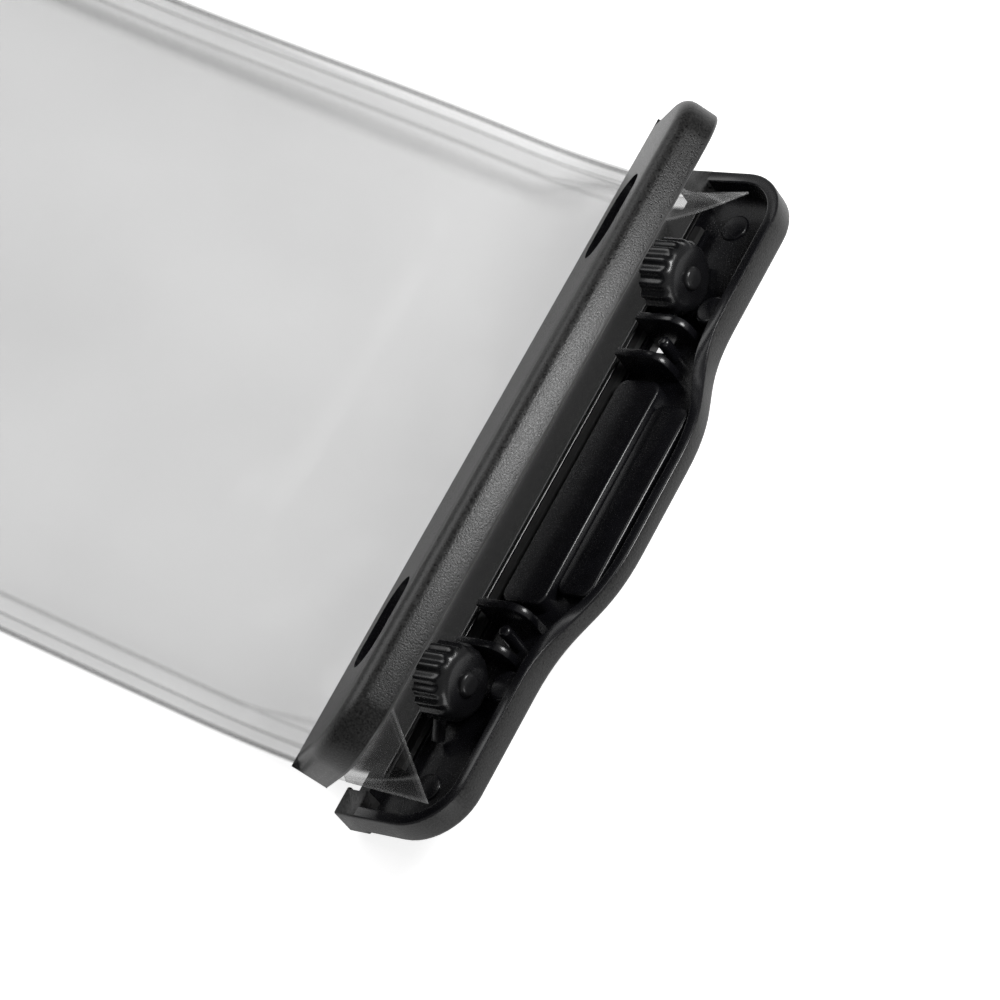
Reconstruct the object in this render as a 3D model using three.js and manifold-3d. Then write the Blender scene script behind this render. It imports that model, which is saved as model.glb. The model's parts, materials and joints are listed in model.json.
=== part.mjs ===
// Waterproof phone pouch: a clear film bag whose open end is held by a two-jaw clip.
// Millimetres. +X along the clip, +Y from the bag towards the clip, +Z up; the pouch lies on its back.
// The clip stands open. Its two jaws swing on the film between them, which folds along one line;
// sizes across a jaw (w) and above the mating plane (h) are measured in the jaw's own turned frame.
import * as THREE from "three";
import { mergeVertices } from "three/addons/utils/BufferGeometryUtils.js";
import Module from "manifold-3d";

// Clip as a whole
const CLIP_LENGTH = 111.2; // along X
const JAW_EDGE = 8.0; // fold line to the jaws' bag-side edge
const JAW_WIDTH = 17.4; // bag-side edge to the straight free edge
const FOLD_RISE = 4.8; // the fold line lies this far above the mating plane
const REAR_TILT = 32; // degrees, rear jaw above the table
const FRONT_TILT = 68; // degrees, front jaw above the table
const CORNER_R = 8.5; // free-edge corners in plan
const BAG_CORNER_R = 1.2; // bag-side corners in plan
const JAW_WALL = 1.8;
const JAW_SKIN = 1.4; // floor of the rear jaw, plate of the front jaw
const EDGE_CHAMFER = 0.9;
const RIM_GAP = 0.2; // each rim stays this far from the mating plane
const PASS = 1; // a cutting form runs this far past the faces that it opens
const EMBED = 0.2; // joined forms reach this far into each other

// Front jaw
const FRONT_DEPTH = 5.9;
const WINDOW_LENGTH = 14.4;
const WINDOW_WIDTH = 8.2;
const PLATE_RIB_RISE = 1.2; // stiffening ribs under the plate

// Rear jaw
const REAR_DEPTH = 4.7;
const BULGE = 4.9; // finger tab beyond the free edge
const BULGE_FOOT = 31; // half its length where it leaves the straight edge
const BULGE_FLAT = 7; // half its length at the crest
const BULGE_DROP = 1.3; // the tab's rim is lower than the rest
const BULGE_RIM = 1; // from the straight free edge to where the rim drops
const CORNER_PAD_X = 3.9; // solid blocks at the bag-side corners, along X
const CORNER_PAD_W = 2.4; // inside the jaws' bag-side edge
const CORNER_PAD_OUT = 1.5; // beyond that edge
const CORNER_PAD_LAP = 0.4; // the blocks reach this far past the end of the mouth's relief
const SEAT_WALL = 0.7; // between the seal's groove and the platform
const PLATFORM_HALF = 19;
const PLATFORM_WIDTH = 7.6;
const PLATFORM_DROP = 0.9; // below the mating plane
const SHELF_WIDTH = 6.1;
const SHELF_DROP = 2.0;
const SHELF_INSET = 3; // the shelf is shorter than the platform at each end
const HOOK_NEAR_X = PLATFORM_HALF + 2.4; // snap hooks: centre planes of their two plates
const HOOK_FAR_X = HOOK_NEAR_X + 6.4;
const HOOK_LEAD = 0.3; // the plates start this far before the platform
const HOOK_SKIN = 1.2;
const HOOK_REACH = 8.4; // across the jaw
const HOOK_RISE = 2.2; // above the mating plane
const HOOK_ARCH_R = 3.0;
const PEG_R = 0.95;
const PEG_RISE = 1.0;
const PEG_FROM_END = 2.4; // from the hooks' far end
const SLOT_X = 1.8; // moulding slot beside each snap hook
const SLOT_W = 3.6;
const SLOT_FROM_PLATE = 1.5; // its middle from the far plate's centre plane
const RING_X = CLIP_LENGTH / 2 - 7.7;
const RING_W = 8.7; // from the bag-side edge
const RING_R = 2.2;
const RING_RISE = 0.4;

// Seals and film lips
const SEAL_WIDTH = 2.4;
const SEAL_DEPTH = 1.45;
const SEAL_END = 4.1; // the seals end this far inside the bag's sides
const SEAL_SIDE_GAP = 0.3;
const GAP = 0.3; // between pieces that touch
const FILM = 0.5; // film thickness
const LIP_LENGTH = 4.3; // film lip inside the jaws, past their bag-side edge
const LIP_LEAD = 1.6; // the front lip starts this far before that edge

// Locks
const LOCK_FROM_HOOK = 6.7; // from the far hook plate to the lock, along X
const LOCK_X = HOOK_FAR_X + LOCK_FROM_HOOK;
const KNOB_R = 5.4;
const KNOB_RISE = 2.5; // axis above the mating plane
const KNOB_BODY = 3.4; // ribbed length
const KNOB_DOME = 1.6; // domed end
const KNOB_DOME_R = 4.0; // radius at the dome's flat face
const KNOB_START = 6.5; // from the jaws' bag-side edge
const RIB_COUNT = 18;
const RIB_DEPTH = 0.45;
const LUG_REACH = 2.9; // locking lug beyond the ribs
const LUG_LENGTH = 1.2;
const LUG_THICK = 1.6;
const LUG_ANGLE = -34; // degrees from the outward direction while unlocked
const PIN_R = 1.0;
const PIN_CLEARANCE = 0.15;
const PIN_HEAD_R = 1.7;
const PIN_HEAD = 0.6;
const CHEEK_SKIN = 0.9;
const CHEEK_HALF = 3.0;
const CHEEK_TOP = 1.6; // above the pin axis
const SADDLE_R = 2.4;
const SADDLE_DROP = 0.8; // top of the saddle below the mating plane
const SADDLE_OFFSET = 2.6;
const SADDLE_FROM_FREE = 2.8; // its centre from the straight free edge

// Bag
const BAG_LENGTH = 186; // fold line to the closed end
const BAG_SIDE_GAP = 1.1; // from the bag's side to the end of the mouth's relief
const BAG_WIDTH = CLIP_LENGTH - 2 * (CORNER_PAD_X + BAG_SIDE_GAP);
const BAG_END_R = 13;
const WELD = 5; // flat welded border
const SLOPE = 9; // from the weld up to the flat top
const POCKET_HEIGHT = 7.6; // clear height inside
const SHEET_GAP = 0.45; // between the two films over the weld, straight up
const RISE_START = 18; // the film starts to rise to the clip this far before the fold line
const RISE_STEPS = 10; // straight runs of the rising back film
const FILM_LANDING = 0.6; // the back film lies along the rear jaw from this far before its edge
const FILM_LEAD = 6; // length of its easing before that
const MOUTH_Y = 5.6; // front film's end, past the fold line
const MOUTH_Z = 9.3; // its underside there
const TABLE_GAP = 0.6; // fold line height above the table is FOLD_RISE + this

// Grid of the front film
const CORNER_ROWS = 5; // over the closed end's rounded corners
const END_ROWS = 2; // from there up to the flat top
const PLAIN_ROWS = 3; // over the plain length
const RISE_ROWS = 6; // where the film rises to the clip
const SLOPE_COLUMNS = 4; // over each long slope
const MID_SHARE = 0.4; // one more column at this share of the half width
const END_INSET = 0.4; // the first row lies this far inside the closed end

const wasm = await Module();
wasm.setup();
const { Manifold, Mesh } = wasm;

const JAW_FREE = JAW_EDGE + JAW_WIDTH;
const HALF = CLIP_LENGTH / 2;
const MATE = -FOLD_RISE; // height of the mating plane in a jaw's frame
const REAR_FLOOR = MATE - REAR_DEPTH + JAW_SKIN;
const FRONT_INNER = MATE + FRONT_DEPTH - JAW_SKIN;
const FOLD_Z = FOLD_RISE + TABLE_GAP;
const KNOB_W = JAW_EDGE + KNOB_START;
const KNOB_H = MATE + KNOB_RISE;
const SEAL_W = JAW_EDGE + JAW_WALL + SEAL_SIDE_GAP; // bag-side face of both seals
const LIP_NEAR = GAP / 2; // a lip's face nearest the mating plane
const LIP_FAR = LIP_NEAR + FILM;
const BAG_RIM = LIP_FAR + GAP; // bag-side rims stay clear of the lips
const SEAT_END = SEAL_W + SEAL_WIDTH + SEAL_SIDE_GAP;
const PLATFORM_W = SEAT_END + SEAT_WALL;
const SEAL_HALF = BAG_WIDTH / 2 - SEAL_END;

// A closed geometry as a manifold-3d solid
function solid(geometry) {
  let g = geometry.index ? geometry.toNonIndexed() : geometry.clone();
  g = new THREE.BufferGeometry().setAttribute("position", g.getAttribute("position"));
  g = mergeVertices(g, 1e-4);
  return new Manifold(
    new Mesh({
      numProp: 3,
      vertProperties: new Float32Array(g.attributes.position.array),
      triVerts: new Uint32Array(g.index.array),
    }),
  );
}

const joined = (...parts) => parts.flat().reduce((a, b) => a.add(b));
const cut = (body, ...tools) => tools.flat().reduce((a, b) => a.subtract(b), body);

function block(x0, x1, y0, y1, z0, z1) {
  const g = new THREE.BoxGeometry(x1 - x0, y1 - y0, z1 - z0);
  g.translate((x0 + x1) / 2, (y0 + y1) / 2, (z0 + z1) / 2);
  return solid(g);
}

// A plan outline raised from z0 to z1, with its lower or upper edge rounded
function raised(shape, z0, z1, round = 0, end = "low", steps = 7) {
  const straight = new THREE.ExtrudeGeometry(shape, {
    depth: z1 - z0 - round,
    bevelEnabled: false,
    curveSegments: steps,
  });
  straight.translate(0, 0, end === "low" ? z0 + round : z0);
  if (!round) return solid(straight);
  const soft = new THREE.ExtrudeGeometry(shape, {
    depth: (z1 - z0) / 2 - round,
    bevelThickness: round,
    bevelSize: round,
    bevelOffset: -round,
    bevelSegments: 2,
    curveSegments: steps,
  });
  soft.translate(0, 0, end === "low" ? z0 + round : (z0 + z1) / 2);
  return solid(straight).add(solid(soft));
}

// A profile in (y, z) drawn along X
function drawn(points, x0, x1) {
  const g = new THREE.ExtrudeGeometry(new THREE.Shape(points), { depth: x1 - x0, bevelEnabled: false });
  g.applyMatrix4(new THREE.Matrix4().makeBasis(
    new THREE.Vector3(0, 1, 0), new THREE.Vector3(0, 0, 1), new THREE.Vector3(1, 0, 0)));
  g.translate(x0, 0, 0);
  return solid(g);
}

// A round bar across the jaw, from w0 to w1
function acrossBar(x, h, r0, r1, w0, w1, sides = 24) {
  const g = new THREE.CylinderGeometry(r1, r0, w1 - w0, sides);
  g.translate(x, (w0 + w1) / 2, h);
  return solid(g);
}

// A round post standing on the floor, from h0 to h1
function post(x, w, r, h0, h1, sides = 20) {
  const g = new THREE.CylinderGeometry(r, r, h1 - h0, sides);
  g.rotateX(Math.PI / 2);
  g.translate(x, w, (h0 + h1) / 2);
  return solid(g);
}

// Plan outline of a jaw, taken in by inset all round
function jawOutline(inset, tab) {
  const x = HALF - inset;
  const near = JAW_EDGE + inset;
  const far = JAW_FREE - inset;
  const r = Math.max(CORNER_R - inset, 0.5);
  const rb = Math.max(BAG_CORNER_R - inset, 0.3);
  const s = new THREE.Shape();
  s.moveTo(-x + rb, near);
  s.lineTo(x - rb, near);
  s.absarc(x - rb, near + rb, rb, -Math.PI / 2, 0);
  s.lineTo(x, far - r);
  s.absarc(x - r, far - r, r, 0, Math.PI / 2);
  if (tab) {
    const middle = (BULGE_FOOT + BULGE_FLAT) / 2;
    const crest = far + BULGE;
    s.lineTo(BULGE_FOOT, far);
    s.bezierCurveTo(middle, far, middle, crest, BULGE_FLAT, crest);
    s.lineTo(-BULGE_FLAT, crest);
    s.bezierCurveTo(-middle, crest, -middle, far, -BULGE_FOOT, far);
  }
  s.lineTo(-x + r, far);
  s.absarc(-x + r, far - r, r, Math.PI / 2, Math.PI);
  s.lineTo(-x, near + rb);
  s.absarc(-x + rb, near + rb, rb, Math.PI, 1.5 * Math.PI);
  return s;
}

// Long slot with round ends, for the lock windows
function windowShape(x, w) {
  const r = WINDOW_WIDTH / 2;
  const run = WINDOW_LENGTH / 2 - r;
  const s = new THREE.Shape();
  s.absarc(x + run, w, r, -Math.PI / 2, Math.PI / 2);
  s.absarc(x - run, w, r, Math.PI / 2, 1.5 * Math.PI);
  return s;
}

// One snap hook plate: a wall across the jaw with an arched free end
function hookPlate(x) {
  const w0 = PLATFORM_W - HOOK_LEAD;
  const w1 = w0 + HOOK_REACH;
  const top = MATE + HOOK_RISE;
  const s = new THREE.Shape();
  s.moveTo(w0, REAR_FLOOR - EMBED);
  s.lineTo(w1, REAR_FLOOR - EMBED);
  s.lineTo(w1, top - HOOK_ARCH_R);
  s.absarc(w1 - HOOK_ARCH_R, top - HOOK_ARCH_R, HOOK_ARCH_R, 0, Math.PI / 2);
  s.lineTo(w0, top);
  return drawn(s.getPoints(5), x - HOOK_SKIN / 2, x + HOOK_SKIN / 2);
}

function rearJaw() {
  const rim = MATE - RIM_GAP;
  const root = REAR_FLOOR - EMBED;
  const shell = raised(jawOutline(0, true), MATE - REAR_DEPTH, rim, EDGE_CHAMFER);
  const hollow = raised(jawOutline(JAW_WALL, true), REAR_FLOOR, rim + PASS);
  const padX = HALF - CORNER_PAD_X;
  const bagRim = block(-padX, padX, JAW_EDGE - PASS, JAW_EDGE + JAW_WALL + EMBED,
    MATE - BAG_RIM, rim + PASS);
  const tabRim = block(-BULGE_FOOT, BULGE_FOOT, JAW_FREE + BULGE_RIM, JAW_FREE + BULGE + PASS,
    MATE - BULGE_DROP, rim + PASS);
  const body = [cut(shell, hollow, bagRim, tabRim)];
  const seatTop = MATE - BAG_RIM - SEAL_DEPTH - GAP;
  body.push(block(-SEAL_HALF, SEAL_HALF, JAW_EDGE + JAW_WALL / 2, SEAT_END, root, seatTop));
  const shelfW = PLATFORM_W + PLATFORM_WIDTH;
  const shelfHalf = PLATFORM_HALF - SHELF_INSET;
  body.push(block(-PLATFORM_HALF, PLATFORM_HALF, PLATFORM_W, shelfW, root, MATE - PLATFORM_DROP));
  body.push(block(-shelfHalf, shelfHalf, shelfW - EMBED, shelfW + SHELF_WIDTH, root, MATE - SHELF_DROP));
  const padIn = padX - CORNER_PAD_LAP;
  const bore = PIN_R + PIN_CLEARANCE;
  const openings = [];
  for (const side of [-1, 1]) {
    const [pad0, pad1] = side > 0 ? [padIn, HALF] : [-HALF, -padIn];
    body.push(block(pad0, pad1, JAW_EDGE - CORNER_PAD_OUT, JAW_EDGE + CORNER_PAD_W, MATE - REAR_DEPTH, rim));
    body.push(hookPlate(side * HOOK_NEAR_X), hookPlate(side * HOOK_FAR_X));
    const pegX = side * (HOOK_NEAR_X + HOOK_FAR_X) / 2;
    const pegW = PLATFORM_W + HOOK_REACH - PEG_FROM_END;
    body.push(post(pegX, pegW, PEG_R, root, MATE + PEG_RISE, 16));
    body.push(post(side * RING_X, JAW_EDGE + RING_W, RING_R, root, REAR_FLOOR + RING_RISE));
    const slotX = side * (HOOK_FAR_X - SLOT_FROM_PLATE);
    openings.push(block(slotX - SLOT_X / 2, slotX + SLOT_X / 2, PLATFORM_W, PLATFORM_W + SLOT_W,
      MATE - REAR_DEPTH - PASS, REAR_FLOOR + PASS));
    const lockX = side * LOCK_X;
    const cheekW = KNOB_W - GAP - CHEEK_SKIN;
    body.push(block(lockX - CHEEK_HALF, lockX + CHEEK_HALF, cheekW, cheekW + CHEEK_SKIN,
      root, KNOB_H + CHEEK_TOP));
    openings.push(acrossBar(lockX, KNOB_H, bore, bore, cheekW - PASS, cheekW + CHEEK_SKIN + PASS));
    body.push(post(side * (LOCK_X - SADDLE_OFFSET), JAW_FREE - SADDLE_FROM_FREE, SADDLE_R,
      root, MATE - SADDLE_DROP));
  }
  return cut(joined(body), openings);
}

function frontJaw() {
  const rim = MATE + RIM_GAP;
  const outer = MATE + FRONT_DEPTH;
  const root = FRONT_INNER + EMBED;
  const shell = raised(jawOutline(0, false), rim, outer, EDGE_CHAMFER, "high");
  const hollow = raised(jawOutline(JAW_WALL, false), rim - PASS, FRONT_INNER);
  const padX = HALF - CORNER_PAD_X;
  const bagRim = block(-padX, padX, JAW_EDGE - PASS, JAW_EDGE + JAW_WALL + EMBED,
    rim - PASS, MATE + BAG_RIM);
  const seatTop = MATE + BAG_RIM + SEAL_DEPTH + GAP;
  const seat = block(-SEAL_HALF, SEAL_HALF, JAW_EDGE + JAW_WALL / 2, SEAL_W + SEAL_WIDTH, seatTop, root);
  const windowW = KNOB_W + (KNOB_BODY + KNOB_DOME) / 2;
  const windows = [-1, 1].map((side) =>
    raised(windowShape(side * LOCK_X, windowW), FRONT_INNER - PASS, outer + PASS));
  const ribs = [-PLATFORM_HALF, 0, PLATFORM_HALF].map((x) =>
    block(x - HOOK_SKIN / 2, x + HOOK_SKIN / 2, SEAL_W + SEAL_WIDTH - EMBED, JAW_FREE - JAW_WALL + EMBED,
      FRONT_INNER - PLATE_RIB_RISE, root));
  return cut(joined(cut(shell, hollow, bagRim), seat, ribs), windows);
}

// Soft strip that presses the film, above or below the mating plane
function seal(sign) {
  const near = MATE + sign * BAG_RIM;
  const far = near + sign * SEAL_DEPTH;
  const [z0, z1] = [Math.min(near, far), Math.max(near, far)];
  const r = SEAL_WIDTH / 2;
  const run = SEAL_HALF - r;
  const s = new THREE.Shape();
  s.absarc(run, SEAL_W + r, r, -Math.PI / 2, Math.PI / 2);
  s.absarc(-run, SEAL_W + r, r, Math.PI / 2, 1.5 * Math.PI);
  return raised(s, z0, z1);
}

// Ribbed thumb knob on its axle, with the lug that turns under the front jaw's plate
function knob(side) {
  const w0 = KNOB_W;
  const w1 = w0 + KNOB_BODY;
  const w2 = w1 + KNOB_DOME;
  const s = new THREE.Shape();
  for (let i = 0; i < RIB_COUNT * 4; i++) {
    const a = (i / (RIB_COUNT * 4)) * 2 * Math.PI;
    const r = i % 4 < 2 ? KNOB_R : KNOB_R - RIB_DEPTH;
    if (i === 0) s.moveTo(r * Math.cos(a), r * Math.sin(a));
    else s.lineTo(r * Math.cos(a), r * Math.sin(a));
  }
  s.closePath();
  const ribbed = new THREE.ExtrudeGeometry(s, { depth: KNOB_BODY, bevelEnabled: false });
  ribbed.rotateX(-Math.PI / 2);
  ribbed.translate(side * LOCK_X, w0, KNOB_H);
  const dome = acrossBar(side * LOCK_X, KNOB_H, KNOB_R - RIB_DEPTH, KNOB_DOME_R, w1 - EMBED, w2, 32);
  const lug = new THREE.BoxGeometry(KNOB_R + LUG_REACH, LUG_LENGTH, LUG_THICK);
  lug.translate((KNOB_R + LUG_REACH) / 2, 0, 0);
  lug.rotateY(THREE.MathUtils.degToRad(side > 0 ? -LUG_ANGLE : 180 + LUG_ANGLE));
  lug.translate(side * LOCK_X, w0 + LUG_LENGTH / 2 + GAP, KNOB_H);
  const bore = PIN_R + PIN_CLEARANCE;
  return cut(joined(solid(ribbed), dome, solid(lug)),
    acrossBar(side * LOCK_X, KNOB_H, bore, bore, w0 - PASS, w2 + PASS));
}

// Axle pin of a lock: pressed in the cheek, headed outside the knob's dome
function lockPin(side) {
  const tail = KNOB_W - GAP - CHEEK_SKIN;
  const headW = KNOB_W + KNOB_BODY + KNOB_DOME + PIN_CLEARANCE;
  return joined(
    acrossBar(side * LOCK_X, KNOB_H, PIN_R, PIN_R, tail, headW + EMBED),
    acrossBar(side * LOCK_X, KNOB_H, PIN_HEAD_R, PIN_HEAD_R * 0.8, headW, headW + PIN_HEAD),
  );
}

// A point of a jaw's (w, h) frame as (y, z) above the table
function inWorld(w, h, tilt) {
  const a = THREE.MathUtils.degToRad(tilt);
  return new THREE.Vector2(w * Math.cos(a) - h * Math.sin(a), FOLD_Z + w * Math.sin(a) + h * Math.cos(a));
}

// Middle line of the back film in (y, z) from the table up onto the rear jaw's seal
function backRise() {
  const lip = MATE - (LIP_NEAR + LIP_FAR) / 2;
  const landing = inWorld(JAW_EDGE - FILM_LANDING, lip, REAR_TILT);
  const before = inWorld(JAW_EDGE - FILM_LANDING - FILM_LEAD, lip, REAR_TILT);
  const curve = new THREE.CubicBezierCurve(
    new THREE.Vector2(-RISE_START, FILM / 2), new THREE.Vector2(-RISE_START / 2, FILM / 2), before, landing);
  return [...curve.getPoints(RISE_STEPS), inWorld(JAW_EDGE + LIP_LENGTH, lip, REAR_TILT)];
}

// A band of even thickness along a middle line
function ribbon(line) {
  const left = [];
  const right = [];
  line.forEach((p, i) => {
    const before = line[Math.max(i - 1, 0)];
    const after = line[Math.min(i + 1, line.length - 1)];
    const along = after.clone().sub(before).normalize();
    const aside = new THREE.Vector2(-along.y, along.x).multiplyScalar(FILM / 2);
    left.push(p.clone().add(aside));
    right.push(p.clone().sub(aside));
  });
  return [...right, ...left.reverse()];
}

function backFilm() {
  const half = BAG_WIDTH / 2;
  const s = new THREE.Shape();
  s.moveTo(-half + BAG_END_R, -BAG_LENGTH);
  s.lineTo(half - BAG_END_R, -BAG_LENGTH);
  s.absarc(half - BAG_END_R, -BAG_LENGTH + BAG_END_R, BAG_END_R, -Math.PI / 2, 0);
  s.lineTo(half, -RISE_START + FILM);
  s.lineTo(-half, -RISE_START + FILM);
  s.lineTo(-half, -BAG_LENGTH + BAG_END_R);
  s.absarc(-half + BAG_END_R, -BAG_LENGTH + BAG_END_R, BAG_END_R, Math.PI, 1.5 * Math.PI);
  return joined(raised(s, 0, FILM, 0, "low", 2), drawn(ribbon(backRise()), -half, half));
}

// Smooth step from 0 to 1
const smooth = (t) => {
  const c = Math.min(Math.max(t, 0), 1);
  return c * c * (3 - 2 * c);
};

// Half width of the bag at y, with the rounded corners of the closed end
function bagHalf(y) {
  const d = Math.min(Math.max(-BAG_LENGTH + BAG_END_R - y, 0), BAG_END_R);
  return BAG_WIDTH / 2 - BAG_END_R + Math.sqrt(BAG_END_R ** 2 - d ** 2);
}

// Underside of the front film above the table
function frontUnder(x, y) {
  const rise = backRise();
  let i = rise.findIndex((p) => p.x > y);
  if (i < 1) i = 1;
  const [a, b] = [rise[i - 1], rise[i]];
  const t = y < -RISE_START ? 0 : (y - a.x) / (b.x - a.x);
  const floor = (y < -RISE_START ? FILM / 2 : a.y + (b.y - a.y) * t) + FILM / 2 + SHEET_GAP;
  const aside = smooth((bagHalf(y) - WELD - Math.abs(x)) / SLOPE);
  const along = smooth((y + BAG_LENGTH - WELD) / (2 * SLOPE));
  const top = FILM + POCKET_HEIGHT;
  const crest = top + (MOUTH_Z - top) * smooth((y + RISE_START) / (RISE_START + MOUTH_Y));
  return floor + (crest - floor) * aside * along;
}

// Shares of the half width at the front film's columns
function filmColumns() {
  const outer = [1];
  for (let i = 0; i <= SLOPE_COLUMNS; i++)
    outer.push(1 - (WELD + (SLOPE * i) / SLOPE_COLUMNS) / (BAG_WIDTH / 2));
  outer.push(MID_SHARE);
  return [...outer.map((u) => -u), 0, ...outer.toReversed()];
}

// Places of the front film's rows along the bag
function filmRows() {
  const flatTop = WELD + 2 * SLOPE;
  const rows = [];
  for (let i = 0; i <= CORNER_ROWS; i++)
    rows.push(-BAG_LENGTH + END_INSET + (BAG_END_R - END_INSET) * (i / CORNER_ROWS) ** 2);
  for (let i = 1; i <= END_ROWS; i++)
    rows.push(-BAG_LENGTH + BAG_END_R + ((flatTop - BAG_END_R) * i) / END_ROWS);
  for (let i = 1; i <= PLAIN_ROWS; i++)
    rows.push(-BAG_LENGTH + flatTop + ((BAG_LENGTH - flatTop - RISE_START) * i) / PLAIN_ROWS);
  for (let i = 1; i <= RISE_ROWS; i++) rows.push(-RISE_START + ((RISE_START + MOUTH_Y) * i) / RISE_ROWS);
  return rows;
}

// The front film as one closed sheet over a grid
function frontFilm() {
  const across = filmColumns();
  const rows = filmRows();
  const n = across.length;
  const m = rows.length;
  const points = [];
  for (const lift of [0, FILM])
    for (const y of rows)
      for (const u of across) points.push([u * bagHalf(y), y, frontUnder(u * bagHalf(y), y) + lift]);
  const at = (layer, j, i) => layer * n * m + j * n + i;
  const faces = [];
  const quad = (a, b, c, d) => faces.push(a, b, c, a, c, d);
  for (let j = 0; j < m - 1; j++)
    for (let i = 0; i < n - 1; i++) {
      quad(at(1, j, i), at(1, j, i + 1), at(1, j + 1, i + 1), at(1, j + 1, i));
      quad(at(0, j, i), at(0, j + 1, i), at(0, j + 1, i + 1), at(0, j, i + 1));
    }
  for (let i = 0; i < n - 1; i++) {
    quad(at(0, 0, i), at(0, 0, i + 1), at(1, 0, i + 1), at(1, 0, i));
    quad(at(0, m - 1, i + 1), at(0, m - 1, i), at(1, m - 1, i), at(1, m - 1, i + 1));
  }
  for (let j = 0; j < m - 1; j++) {
    quad(at(0, j + 1, 0), at(0, j, 0), at(1, j, 0), at(1, j + 1, 0));
    quad(at(0, j, n - 1), at(0, j + 1, n - 1), at(1, j + 1, n - 1), at(1, j, n - 1));
  }
  const g = new THREE.BufferGeometry();
  g.setAttribute("position", new THREE.BufferAttribute(new Float32Array(points.flat()), 3));
  g.setIndex(faces);
  return solid(g);
}

// The front film's mouth edge, held by the front jaw, in that jaw's frame
function frontLip() {
  const half = BAG_WIDTH / 2;
  return block(-half, half, JAW_EDGE - LIP_LEAD, JAW_EDGE + LIP_LENGTH, MATE + LIP_NEAR, MATE + LIP_FAR);
}

const FINISH = {
  shell: { color: 0x2b2a2b, roughness: 0.62, metalness: 0 },
  seal: { color: 0x1d1d1e, roughness: 0.5, metalness: 0 },
  knob: { color: 0x161617, roughness: 0.3, metalness: 0 },
  pin: { color: 0x3a3b3d, roughness: 0.35, metalness: 0.8 },
  film: { color: 0xd9dadb, roughness: 0.22, metalness: 0, transparent: true, opacity: 0.4 },
};

function piece(name, made, finish) {
  const m = made.getMesh();
  const g = new THREE.BufferGeometry();
  const v = new Float32Array((m.vertProperties.length / m.numProp) * 3);
  for (let i = 0; i < v.length / 3; i++)
    v.set(m.vertProperties.subarray(i * m.numProp, i * m.numProp + 3), i * 3);
  g.setAttribute("position", new THREE.BufferAttribute(v, 3));
  g.setIndex(new THREE.BufferAttribute(m.triVerts, 1));
  g.computeVertexNormals();
  const mesh = new THREE.Mesh(g, new THREE.MeshStandardMaterial(FINISH[finish]));
  mesh.name = name;
  return mesh;
}

const rear = new THREE.Group();
rear.position.z = FOLD_Z;
rear.rotation.x = THREE.MathUtils.degToRad(REAR_TILT);
rear.add(piece("rear_jaw", rearJaw(), "shell"), piece("rear_seal", seal(-1), "seal"));
for (const [side, hand] of [[-1, "left"], [1, "right"]])
  rear.add(piece("lock_knob_" + hand, knob(side), "knob"), piece("lock_pin_" + hand, lockPin(side), "pin"));

const front = new THREE.Group();
front.position.z = FOLD_Z;
front.rotation.x = THREE.MathUtils.degToRad(FRONT_TILT);
front.add(
  piece("front_jaw", frontJaw(), "shell"),
  piece("front_seal", seal(1), "seal"),
  piece("front_mouth_lip", frontLip(), "film"),
);

const pouch = new THREE.Group();
pouch.add(rear, front, piece("back_film", backFilm(), "film"), piece("front_film", frontFilm(), "film"));

// The frame's origin is the middle of the underside's box
pouch.updateMatrixWorld(true);
const bounds = new THREE.Box3().setFromObject(pouch, true);
const part = new THREE.Group();
pouch.position.set(0, -(bounds.min.y + bounds.max.y) / 2, -bounds.min.z);
part.add(pouch);

export default part;
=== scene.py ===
"""Dresses a clear waterproof pouch with a two-jaw snap clip: films, grained shells, seals and thumb locks."""

from __future__ import annotations

import json
import logging
import math
from dataclasses import dataclass, field
from enum import Enum
from typing import Callable, Iterable, Sequence

import bmesh
import bpy
from mathutils import Matrix, Vector, noise

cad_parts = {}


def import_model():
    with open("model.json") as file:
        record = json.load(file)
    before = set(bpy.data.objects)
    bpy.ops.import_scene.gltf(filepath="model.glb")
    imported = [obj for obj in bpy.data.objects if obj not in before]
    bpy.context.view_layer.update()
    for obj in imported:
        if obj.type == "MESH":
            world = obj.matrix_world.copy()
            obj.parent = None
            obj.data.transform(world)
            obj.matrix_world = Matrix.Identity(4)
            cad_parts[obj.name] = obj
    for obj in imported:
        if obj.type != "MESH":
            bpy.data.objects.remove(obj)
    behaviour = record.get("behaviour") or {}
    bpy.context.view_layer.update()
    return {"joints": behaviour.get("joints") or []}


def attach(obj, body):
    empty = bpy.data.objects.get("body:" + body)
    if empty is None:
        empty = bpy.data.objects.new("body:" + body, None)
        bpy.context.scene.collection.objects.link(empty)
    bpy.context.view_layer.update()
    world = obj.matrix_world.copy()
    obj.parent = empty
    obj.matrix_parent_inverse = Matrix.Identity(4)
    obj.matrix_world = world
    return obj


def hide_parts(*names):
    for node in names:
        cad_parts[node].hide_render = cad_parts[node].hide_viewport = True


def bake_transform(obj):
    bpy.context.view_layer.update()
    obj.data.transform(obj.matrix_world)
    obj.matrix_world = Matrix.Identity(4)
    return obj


LOG = logging.getLogger("pouch")
MM = 0.001
WELD = "weld"  # attribute that marks the ears' welds and hems
INSIDE = 1  # a jaw's material index for its inside
BEAD_PAINTED_HIGHLIGHT = 2  # and for the bead round its rim, in a lighter tone that is a painted highlight
NEAR = 1e-3  # a corner this close to a level lies on it
PASS = 1.0  # a cutter runs this far past the faces that it opens
SINK = 0.3  # a joined form reaches this far into the form that carries it
BLACK = (0.0, 0.0, 0.0)
WHITE = (1.0, 1.0, 1.0)
Edge = bmesh.types.BMEdge
Colour = tuple[float, float, float]
Span = tuple[float, float]


class Body(Enum):
    """The moving bodies that pieces ride on."""

    POUCH = "pouch"
    FRONT = "front_jaw"
    LOCK_LEFT = "lock_left"
    LOCK_RIGHT = "lock_right"


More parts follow.
